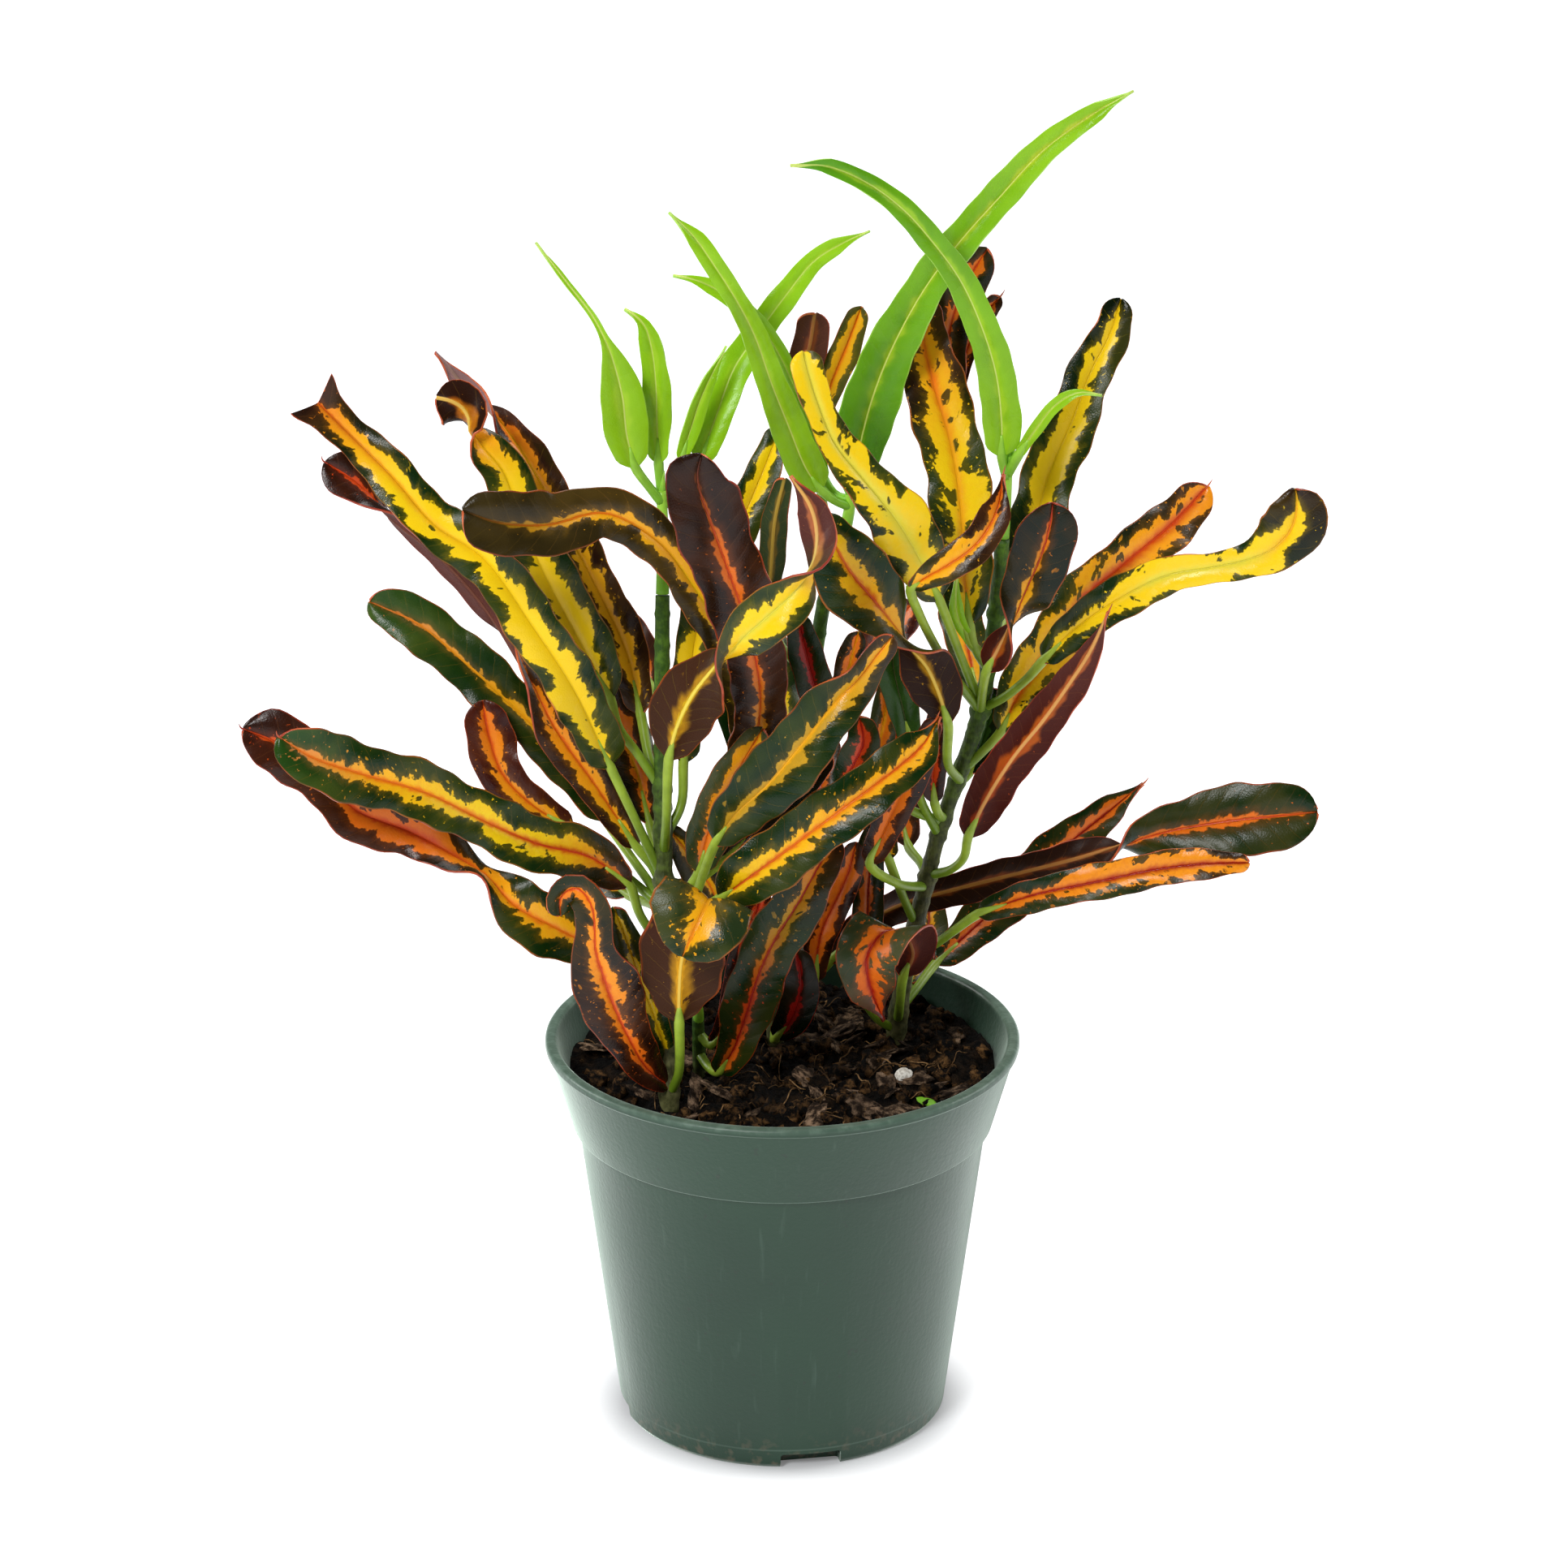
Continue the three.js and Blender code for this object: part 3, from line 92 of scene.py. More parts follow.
# Leaves of each stem: name, stalk points, blade rows, fold in degrees and edge wave.
# A blade row is across, up, back, width and turn: 0 shows the upper face to the eye, 180 the
# underside, and FREE takes the turn from the rows beside it.
LEAVES = {
    "left": [
      ["banner", [[-29.4, 38, -20], [-36, 52, -22]],
       [[-42.8, 66.4, -20, 10, 10], [-51, 84, -27, 13, 5], [-62, 101, -31, 12.5, 0],
        [-74, 117.5, -30, 12, -10], [-86, 125.5, -28, 12, 10], [-96, 137, -25, 11, 0],
        [-107, 148, -21, 9, 0], [-112.5, 153.5, -20, 9, 0], [-117, 158, -20, 14, 0]], 12, 0.9],
      ["rolled", [[-30, 37, -17], [-32, 41, -16]],
       [[-36, 46, -15, 5, 0], [-46.6, 61.8, -13, 10, 0], [-56, 75, -12, 11, 10],
        [-63, 88, -11, 10, 65], [-73, 104.4, -12, 10, 128], [-84, 117, -13, 10, 134],
        [-96, 126.5, -14, 11, 100], [-105.5, 136, -15, 12, 25], [-113, 141, -15, 11, 0]], 10, 0.4],
      ["broad", [[-29.6, 32.6, -21], [-37, 43, -11]],
       [[-44, 53, -6, 7, 0], [-54, 68, -4, 12, 5], [-66, 80, -2, 13, 10], [-79, 92, 1, 13, 5],
        [-90, 101, 3, 13, 0], [-102, 106.5, 5, 8.5, 0]], 12, 0.9],
      ["crook", [[-29.7, 60, -17], [-35.8, 69, -16], [-40.4, 75.4, -15]],
       [[-42.6, 82.8, -14, 9, 0], [-49.2, 95.2, -15, 15, 0], [-57, 109.8, -15, 15, 0],
        [-64, 125, -14, 12.5, 10], [-69, 138.8, -12, 11, 10], [-74.2, 145, -11, 10, 25],
        [-77.2, 148.8, -11, 6, 85], [-77.4, 151.6, -11, 9, 150], [-79, 154.4, -11, 12.5, 175],
        [-82, 156.2, -12, 12.5, 180], [-85.6, 157, -12, 11, 180]], 9, 0.3],
      ["ragged", [[-29.8, 60, -17], [-32.8, 67.6, -12]],
       [[-35, 79, -6, 6, 0], [-38.5, 94, -2, 11, 0], [-46.5, 111, 2, 11, 5], [-56, 129, 6, 11, 10],
        [-63.4, 142, 8.5, 10.5, 10], [-69.2, 150, 10, 9.5, 40], [-74.4, 155.8, 11, 7.5, 120],
        [-78.8, 160, 11.5, 5.6, 175], [-83.2, 165.2, 12, 3.2, 180],
        [-85.9, 168.2, 12, 1.4, 180]], 10, 0.9],
      ["paddle", [[-29.4, 31, -21], [-40, 40, -15]],
       [[-52, 50, -13, 6, 10], [-62, 56.5, -12, 9, 0], [-69, 64, -11, 11, -10],
        [-72.5, 74, -9, 12, 0], [-74, 82, -8, 10, 0]], 12, 0.8],
      ["sweep", [[-28.8, 20, -22], [-35, 29, -22]],
       [[-38, 37, -24, 8, -30], [-47.6, 43.5, -27, 13, -10], [-60.2, 46.6, -31, 14, 0],
        [-73, 52, -36, 13, 5], [-88.4, 59.4, -42, 14, 0], [-103.6, 63.8, -47, 15, 0],
        [-116, 68, -51, 14.5, 0], [-124, 73, -53, 12, 0]], 14, 1],
      ["wander", [[-28.6, 9, -24], [-38, 17, -26]],
       [[-45, 20.5, -28, 9, 0], [-55.2, 25.6, -31, 16.5, 0], [-66, 31.5, -33, 13, 0],
        [-73.2, 38.6, -33, 9, 80], [-82.6, 44.6, -32, 11, 20], [-92.2, 49.8, -31, 13, 0],
        [-105, 55, -30, 14, -10], [-114.8, 64.6, -30, 13, 0], [-124.8, 71.6, -30, 15, 0],
        [-133, 75, -30, 12, 0]], 12, 1],
      ["curl", [],
       [[-28, -13, -29, 4, 20], [-33.5, -8.5, -33, 9, 10], [-38.4, 0, -38, 12, 0],
        [-42, 8, -42, 16, 0], [-44.4, 15, -45, 17, 0], [-46, 20.6, -47, 10, -10],
        [-46.2, 26, -48, 9, -25], [-47, 31.6, -48, 9.5, -30], [-50.4, 35.8, -47, 9.5, -30],
        [-54.6, 33.8, -46, 8.5, -30], [-54.8, 29, -46, 6, -30]], 8, 0.4],
      ["apron", [[-27.8, -15, -28], [-25.6, -10, -32]],
       [[-25.4, 2.8, -38, 6, 180], [-25.4, 10, -42, 18, 180], [-24.8, 18, -44, 20, 180],
        [-22, 27, -46, 20, FREE], [-18.6, 32.6, -49, 20, FREE], [-18.4, 32.6, -53, 22.5, FREE],
        [-21, 27, -57, 25, 0], [-24.6, 18.8, -59, 23, 0]], 6, 0.8],
      ["keel", [[-28.6, 20, -22], [-23, 30, -28]],
       [[-16.4, 47, -38, 6, 0], [-11.8, 53.6, -40, 12, 0], [-2.8, 62, -44, 16, 0],
        [5.2, 71.6, -46, 15.5, 0], [13.2, 81.6, -45, 13, 10], [19, 88, -44, 10, 60],
        [23, 93, -43, 8, 40], [27.2, 98, -42, 6, 20]], 12, 0.8],
      ["lance", [[-28.8, 24, -22], [-21, 30, -36]],
       [[-15, 33.5, -43, 7, 0], [-10, 37, -46, 13, 0], [-1, 43.5, -47, 15, 0],
        [9.8, 51.5, -48, 14, 0], [20, 59, -46, 13, 0], [29.2, 66, -42, 12, 0],
        [35, 71.5, -39, 9.5, 0], [38.8, 78, -35, 2.4, 0]], 12, 0.8],
      ["shade", [[-29.6, 38, -20], [-31, 45, -12]],
       [[-32.8, 52, -8, 6, 0], [-36, 65, -4, 11, 0], [-40, 75, -2, 11, 0],
        [-43, 86, 1, 5, 0]], 12, 0.6],
      ["spoon", [[-29.2, 44.6, -20], [-28.6, 52, -29]],
       [[-28, 67.6, -36, 6, 180], [-26.2, 75, -41, 15, 180], [-22.4, 83, -45, 17.5, 180],
        [-17.2, 89.6, -49, 11, 150], [-13.2, 93.8, -52, 9, 60], [-8.6, 98.4, -55, 12, 0],
        [-2.6, 103.6, -57, 13, 0], [3.4, 109.4, -57, 11, 30], [7.6, 116, -55, 9, 110],
        [8.6, 123, -52, 9, 160], [7, 130, -50, 7.5, 170], [2, 137.6, -48, 2.4, 180]], 10, 0.5],
      ["spire", [[-29.4, 48, -19], [-25, 56, -16]],
       [[-24.4, 67, -13, 6, 0], [-22.8, 82, -10, 9.5, 0], [-21.5, 97, -7, 9.5, 0],
        [-18, 110, -4, 10, 0], [-11, 124, 4, 10, 0], [-5, 138, 9, 9, 0],
        [-0.5, 149.5, 13, 5, 0]], 12, 0.8],
      ["inner", [[-29.2, 33, -21], [-24, 35, -26]],
       [[-20.4, 40, -28, 6, 0], [-18.4, 48.6, -29, 11, 0], [-14.8, 57.6, -30, 11, 0],
        [-9.8, 66.6, -31, 10, 0], [-4.8, 75, -31, 6, 0]], 12, 0.6],
      ["droop", [],
       [[-28.2, 50.5, -18, 4, 0], [-22, 42.6, -14, 10, 0], [-17, 34.6, -12, 10, 0],
        [-14.5, 26.6, -11, 6, 0]], 12, 0.5],
      ["narrow", [],
       [[-28, -7, -27, 3, 0], [-31, 2, -30, 7, 0], [-35, 13, -32, 8, 0], [-38.5, 23, -33, 8, 0],
        [-41.5, 31, -33, 4, 0]], 12, 0.5],
      ["dusk", [[-29, 28, -21], [-20, 38, -24]],
       [[-14, 43, -27, 5, 0], [-5, 52, -30, 9, 0], [4, 61, -31, 9, 0],
        [12, 69, -31, 5, 0]], 12, 0.5],
      ["rear_left_a", [[-29.5, 56, -17], [-31, 60, -6]],
       [[-33, 64, 3, 6, 0], [-38, 75, 16, 11, 0], [-43, 86, 28, 12, 0],
        [-47, 95, 37, 8, 0]], 12, 0.8],
      ["rear_left_b", [[-29.5, 76, -14], [-30, 80, -5]],
       [[-32, 85, 4, 6, 0], [-36, 94, 15, 11, 0], [-41, 102, 26, 11, 0],
        [-45, 108, 34, 7, 0]], 12, 0.8],
      ["rear_left_c", [[-29, 30, -21], [-33, 32, -10]],
       [[-38, 34, -2, 6, 0], [-46, 40, 10, 11, 0], [-54, 46, 22, 11, 0],
        [-60, 50, 32, 7, 0]], 12, 0.8],
    ],
    "centre": [
      ["arch", [[2.6, 45, 11], [-1, 50, 2]],
       [[-3.5, 55, -6, 6, 0], [-7.8, 74.6, -13, 10, 0], [-12.8, 94.6, -23, 11, 0],
        [-21.2, 109.2, -30, 11, 0], [-31.4, 122, -36, 11, 0], [-44.2, 128.4, -40, 12.5, 0],
        [-58, 125.5, -45, 15, 0], [-70, 126, -49, 16, 0], [-79, 129, -51, 13, 0]], 12, 0.7],
      ["mast", [[1.5, 38, 10], [-1, 38, -2]],
       [[-3.8, 43, -13, 8, 0], [-6, 56, -17, 14, 0], [-6.8, 68.6, -20, 13, 0],
        [-5.4, 83.6, -28, 13, 0], [-8.5, 100, -36, 15, 0], [-13.6, 114.8, -41, 17, 0],
        [-18, 127, -43, 17.5, 0], [-21, 137, -44, 17, 0], [-20, 143, -45, 14, 0]], 14, 0.8],
      ["plain", [[3.2, 54, 11], [-4, 60, 0]],
       [[-9.4, 67, -7, 5, 0], [-11.8, 78.6, -10, 8.5, 0], [-12, 88.6, -12, 8.5, 0],
        [-11, 98.6, -12, 5, 0]], 12, 0.6],
      ["ember", [[-1.4, 3, 10], [-2, -1, 2]],
       [[-1.5, -1, -6, 4, 0], [2.5, 4, -9, 9, 10], [4.5, 12, -10, 9.5, 10],
        [3.5, 20.5, -9, 6, 0]], 12, 0.5],
      ["chevron", [[2.8, 48, 11], [9, 54, -4]],
       [[14, 60, -16, 6, 0], [17.5, 66, -19, 9, 0], [20, 72, -20, 9, 0],
        [19, 78, -19, 5, 0]], 12, 0.5],
      ["plum", [[12.4, 114, 12], [6, 132, 19]],
       [[4.2, 148, 21, 5, 180], [4.2, 160.6, 22, 8.5, 180], [6.8, 170, 22, 9, 180],
        [8, 178, 21, 7, 180]], 12, 0.5],
      ["wisp", [[13.4, 117, 12], [9.5, 134, 18]],
       [[9.2, 150, 22, 4, 0], [12.2, 160.6, 24, 7, 0], [16, 170, 24, 7.5, 0],
        [19.6, 179.5, 22, 5, 0]], 12, 0.5],
      ["pewter", [[7.3, 88, 12], [0, 95, 4]],
       [[-3.8, 103, 0, 4, 180], [-2.8, 114.6, -3, 6.5, 180], [-1.8, 126.6, -6, 6.5, 180],
        [0.5, 137, -8, 4, 180]], 12, 0.5],
      ["garnet", [[4.8, 66, 11], [9, 70, 0]],
       [[11.2, 75, -8, 5, 0], [8.2, 84.6, -11, 9, 0], [5.6, 94.6, -13, 9, 0],
        [3.6, 103, -14, 5, 0]], 12, 0.5],
      ["flint", [[6.3, 78, 11.5], [12, 78, 0]],
       [[15.2, 84.6, -8, 5, 0], [16.6, 91, -10, 8, 0], [18.8, 99, -11, 4, 0]], 12, 0.4],
      ["strap", [[-0.8, 6, 10], [3, 10, 24], [8, 13.5, 34]],
       [[12, 18, 36, 5, 180], [19.2, 26, 33, 8, 180], [29.2, 31.6, 27, 8.5, 180],
        [43.2, 35.6, 22, 8.5, 180], [59.2, 39.6, 16, 9, 180], [74, 43.4, 11, 9, 180],
        [80, 45.2, 9.6, 9, 150], [84, 46.4, 9, 9, 90], [88, 47.8, 8.6, 10, 30],
        [94, 49.4, 7.6, 13, 0], [101, 50.8, 7, 15.5, 0], [110, 52.2, 6, 17.5, 0],
        [119, 53.2, 5, 17.5, 0], [127, 54, 5, 16, 0], [132, 54.5, 5, 11, 0]], 10, 0.7],
      ["amber", [[-0.8, 8, 10], [4, 9, 6]],
       [[7.8, 13, 3, 5, 0], [9.6, 24.6, 0, 8, 0], [13.2, 32.6, -2, 8, 0], [16.2, 39.6, -3, 8, 0],
        [18.2, 47, -3, 4, 0]], 12, 0.5],
      ["rear_centre_a", [[4.5, 62, 11], [5, 66, 22]],
       [[3, 68, 28, 6, 0], [0, 80, 40, 11, 0], [-3, 92, 50, 12, 0], [-5, 102, 57, 8, 0]], 12, 0.8],
      ["rear_centre_b", [[5.4, 72, 11.5], [10, 76, 20]],
       [[13, 80, 28, 6, 0], [19, 90, 38, 11, 0], [26, 99, 48, 12, 0],
        [32, 106, 56, 8, 0]], 12, 0.8],
      ["rear_centre_c", [[2.6, 48, 10.5], [0, 52, 22]],
       [[-3, 56, 30, 6, 0], [-6, 66, 42, 11, 0], [-8, 74, 52, 11, 0], [-9, 80, 60, 7, 0]], 12, 0.8],
      ["rear_centre_d", [[2, 44, 10.5], [6, 47, 20]],
       [[8, 50, 28, 6, 0], [9, 58, 38, 11, 0], [10, 66, 48, 11, 0], [10, 73, 56, 7, 0]], 12, 0.8],
      ["rear_centre_e", [[-0.6, 14, 10], [-4, 17, 20]],
       [[-8, 20, 28, 6, 0], [-16, 26, 38, 11, 0], [-23, 32, 46, 11, 0],
        [-28, 36, 52, 7, 0]], 12, 0.8],
    ],
    "right": [
      ["slip", [[38.4, 49, 12], [34, 58, 2]],
       [[31.6, 72, -8, 5, 0], [29.6, 80.6, -11, 8, 0], [27.4, 90.6, -12, 8.5, 0],
        [27.2, 101, -12, 5, 0]], 12, 0.5],
      ["ladle", [[44, 62, 11.5], [40.8, 66.6, -2]],
       [[40.8, 76.6, -12, 6, 180], [38.5, 84, -16, 13, 180], [35.5, 90.5, -20, 13.5, 170],
        [31, 95.8, -26, 8, 100], [27.5, 100.5, -29, 11, 30], [22, 107.5, -32, 18, 0],
        [16, 115, -33, 18.5, 0], [12.5, 122, -33, 13, 0], [11.3, 128, -32, 5, 0]], 10, 0.6],
      ["canary", [[49, 80.5, 10], [44, 93, -5]],
       [[38.6, 107.2, -18, 7, 0], [34.2, 116.6, -22, 14, 0], [28, 127, -25, 15, 0],
        [20.2, 136.6, -26, 11, 10], [13, 145.6, -25, 8.5, 20], [9.2, 154.6, -24, 7, 0],
        [6.5, 163, -22, 8, 0], [5.2, 168.5, -20, 7, 0]], 10, 0.8],
      ["torch", [[50.6, 90, 9], [47.5, 95, 3]],
       [[46.2, 101, -1, 7, 0], [44.8, 114.6, 0, 14, 0], [44, 130.6, 3, 15, 0],
        [41.4, 146.6, 7, 15.5, 0], [37.5, 160, 11, 15, 0], [35, 171, 14, 13, 0],
        [34.4, 182, 16, 8, 0]], 12, 0.9],
      ["raven", [[52.7, 104, 8], [46, 125, 16]],
       [[42.5, 142, 20, 6, 0], [40.5, 159, 22, 9, 0], [41.6, 174.6, 23, 10, 0],
        [46, 186, 22, 10, 0], [50.8, 194, 21, 8, 0]], 12, 0.6],
      ["needle", [[53, 108, 7.5], [46, 130, 20]],
       [[41.5, 150, 27, 3, 0], [43.6, 162.6, 29, 5, 0], [47.2, 172.6, 29, 5.5, 0],
        [51.5, 179.5, 28, 5, 0], [53.8, 182, 28, 3, 0]], 12, 0.3],
      ["hook", [[48.8, 79.6, 10], [41, 90, -8], [34, 103, -24]],
       [[31.8, 110, -30, 3, 40], [35.5, 112.5, -32, 6, 20], [41, 115.5, -33, 8, 0],
        [48.2, 121, -32, 8.5, 0], [53, 129, -29, 8, 0], [54.6, 138, -25, 2.4, 0]], 12, 0.5],
      ["beacon", [[48.8, 79, 10], [49.5, 85, 0]],
       [[50.5, 89.6, -6, 6, 180], [53.5, 95, -10, 9, 150], [56.5, 101, -13, 6, 80],
        [60, 109, -15, 13, 0], [64.2, 118.6, -17, 15.5, 0], [66.4, 127, -18, 13, 0],
        [66.8, 131, -18, 9, 0]], 10, 0.6],
      ["blade", [[52.8, 104, 8], [56, 110, 10]],
       [[58.5, 114.5, 12, 8, 0], [62, 124, 16, 14, 0], [66, 138, 21, 13.5, 0],
        [71.6, 151, 26, 12.5, 0], [76.4, 163.5, 30, 11, 0], [81.2, 173, 33, 9.5, 0],
        [83.8, 181.5, 35, 7.5, 0]], 14, 0.9],
      ["plume", [[44.6, 65, 11.2], [50, 70, 10]],
       [[54, 74.5, 10, 5, 0], [57.5, 82, 11, 11, 0], [64, 92, 12, 13, 0], [74.2, 107, 13, 13, 0],
        [84, 115.5, 13, 13, 0], [96, 125.5, 12, 12, 0], [105, 135, 11, 9, 0]], 12, 0.9],
      ["oar", [[49, 80, 10], [54.4, 82.6, 6], [60.2, 87.2, 2]],
       [[64.5, 92, -2, 5, 0], [72, 99.5, -5, 9.5, 0], [84, 107.6, -9, 10.5, 0],
        [95.2, 113, -12, 9.5, 0], [105.2, 114.8, -14, 7, 20], [114, 116.6, -16, 8, 10],
        [121, 119.4, -18, 12, 0], [125.8, 124.6, -20, 15, 0], [127.2, 131, -20, 15, 0],
        [126.8, 134.4, -20, 11, 0]], 10, 0.7],
      ["quill", [[36.4, 39, 12], [41.5, 40.3, 5], [44.8, 43.5, -1]],
       [[45.8, 48.4, -4, 7, 180], [50, 57, -9, 10.5, 180], [57, 68, -14, 11, 180],
        [64.8, 77.6, -18, 10, 180], [71.2, 86.6, -20, 9, 170], [76, 94, -21, 5, 150],
        [80.6, 104, -22, 1.8, 140]], 12, 0.6],
      ["dart", [[28.9, 6, 12.3], [33, 11, 18]],
       [[37.8, 17.2, 27, 6, 0], [48, 26.6, 36, 12, 0], [59.2, 36.6, 44, 12.5, 0],
        [69.2, 45.6, 51, 12, 0], [79.2, 53.6, 57, 9, 0], [89, 61.5, 60, 2.4, 0]], 12, 0.8],
      ["ribbon", [[31, 18.5, 12], [37, 21.5, 9], [42, 25, 5]],
       [[48.4, 29.4, 2, 5, 0], [61.2, 33.8, -2, 8.5, 0], [76.4, 37, -5, 9, 0],
        [91.8, 40.2, -7, 9, 0], [103.2, 41.6, -9, 8, 0], [115, 42, -10, 4, 0]], 12, 0.8],
      ["hood", [[28.4, 3, 12], [29, 8, 3]],
       [[29.8, 14, -3, 5, 180], [32.2, 19.6, -6, 12, 180], [29.8, 24.4, -9, 15, FREE],
        [24.5, 24.4, -14, 16, FREE], [20.8, 18.6, -17, 16, 0], [21.8, 11, -17, 12, 0],
        [25, 3, -15, 2.4, 0]], 8, 0.5],
      ["tawny", [[32.8, 27, 12], [30, 33, 8]],
       [[26.2, 43, 2, 5, 0], [23.8, 52.6, -1, 8, 0], [21.2, 62.6, -2, 8, 0],
        [20.2, 71, -2, 4, 0]], 12, 0.5],
      ["sentry", [[28.2, 1, 12], [24, 3, 9], [20.5, 8, 6]],
       [[20.2, 13, 5, 5, 0], [20.8, 22, 6, 7.5, 0], [21.2, 35.6, 7, 8, 0], [22.2, 46.6, 8, 7, 0],
        [24.2, 54, 9, 4, 0]], 12, 0.4],
      ["cinder", [[35.2, 36, 12], [28, 37, -4]],
       [[21.5, 42, -12, 5, 0], [27, 54, -16, 9, 0], [33, 66.5, -19, 9, 0],
        [38, 77.5, -20, 4, 0]], 12, 0.5],
      ["russet", [[39.8, 53, 12], [38.5, 54, 6]],
       [[37.5, 57, 2, 4, 0], [37.2, 65, 1, 7, 0], [38.2, 75, 0, 7, 0],
        [39.2, 83, 0, 4, 0]], 12, 0.4],
      ["sloe", [[43, 61.5, 11.5]],
       [[46, 64, 14, 4, 0], [49, 71, 17, 8, 0], [51, 78, 19, 8, 0], [52.5, 85, 20, 4, 0]], 12, 0.5],
      ["apricot", [[39.5, 52, 12], [30, 56, 2]],
       [[23.5, 63, -5, 4, 0], [24.2, 72.6, -6, 7, 0], [26.2, 82.6, -6, 7, 0],
        [28.2, 93, -6, 4, 0]], 12, 0.4],
      ["sprout", [[51, 92, 9]],
       [[46.5, 96.2, 2, 2.4, 0], [43, 104.2, -6, 3.6, 0], [43, 114, -8, 2, 0]], 8, 0.2],
      ["rear_right_a", [[47.6, 76, 10.5], [48, 80, 18]],
       [[48, 84, 26, 6, 0], [46, 94, 36, 11, 0], [44, 104, 45, 11, 0],
        [43, 112, 52, 7, 0]], 12, 0.8],
      ["rear_right_b", [[35.6, 38, 12], [34, 42, 20]],
       [[31, 46, 26, 6, 0], [29, 56, 36, 11, 0], [28, 66, 45, 11, 0], [28, 74, 52, 7, 0]], 12, 0.8],
      ["rear_right_c", [[50.8, 92, 9], [53, 97, 16]],
       [[55, 101, 22, 6, 0], [58, 110, 30, 10, 0], [60, 118, 36, 11, 0],
        [61, 125, 41, 7, 0]], 12, 0.8],
      ["rear_right_d", [[28.9, 5, 12], [30, 8, 22]],
       [[31, 12, 30, 6, 0], [34, 20, 40, 10, 0], [36, 27, 48, 11, 0], [36, 33, 54, 7, 0]], 12, 0.8],
    ],
    "front": [
      ["stripe", [[-20.5, -5, -6], [-18, -8.5, -11]],
       [[-15.5, -9.5, -16, 5, 0], [-12, -4, -20, 9, 0], [-8.8, 5, -22, 13, 0],
        [-5.8, 14.6, -24, 13.5, 0], [-1.8, 23, -26, 13.5, 0], [4.2, 32.6, -27, 13, 0],
        [9.2, 41.6, -27, 11, 0], [13.2, 48.6, -26, 7, 0]], 12, 0.8],
      ["streak", [[-20.7, 0, -6]],
       [[-17.5, -3, -9, 3, 0], [-13.4, 2, -12, 6.5, 0], [-10.8, 14.6, -15, 7, 0],
        [-7.8, 24.6, -17, 7, 0], [-5.5, 33, -19, 6, 0], [-4.5, 39, -20, 3, 0]], 12, 0.5],
    ],
}

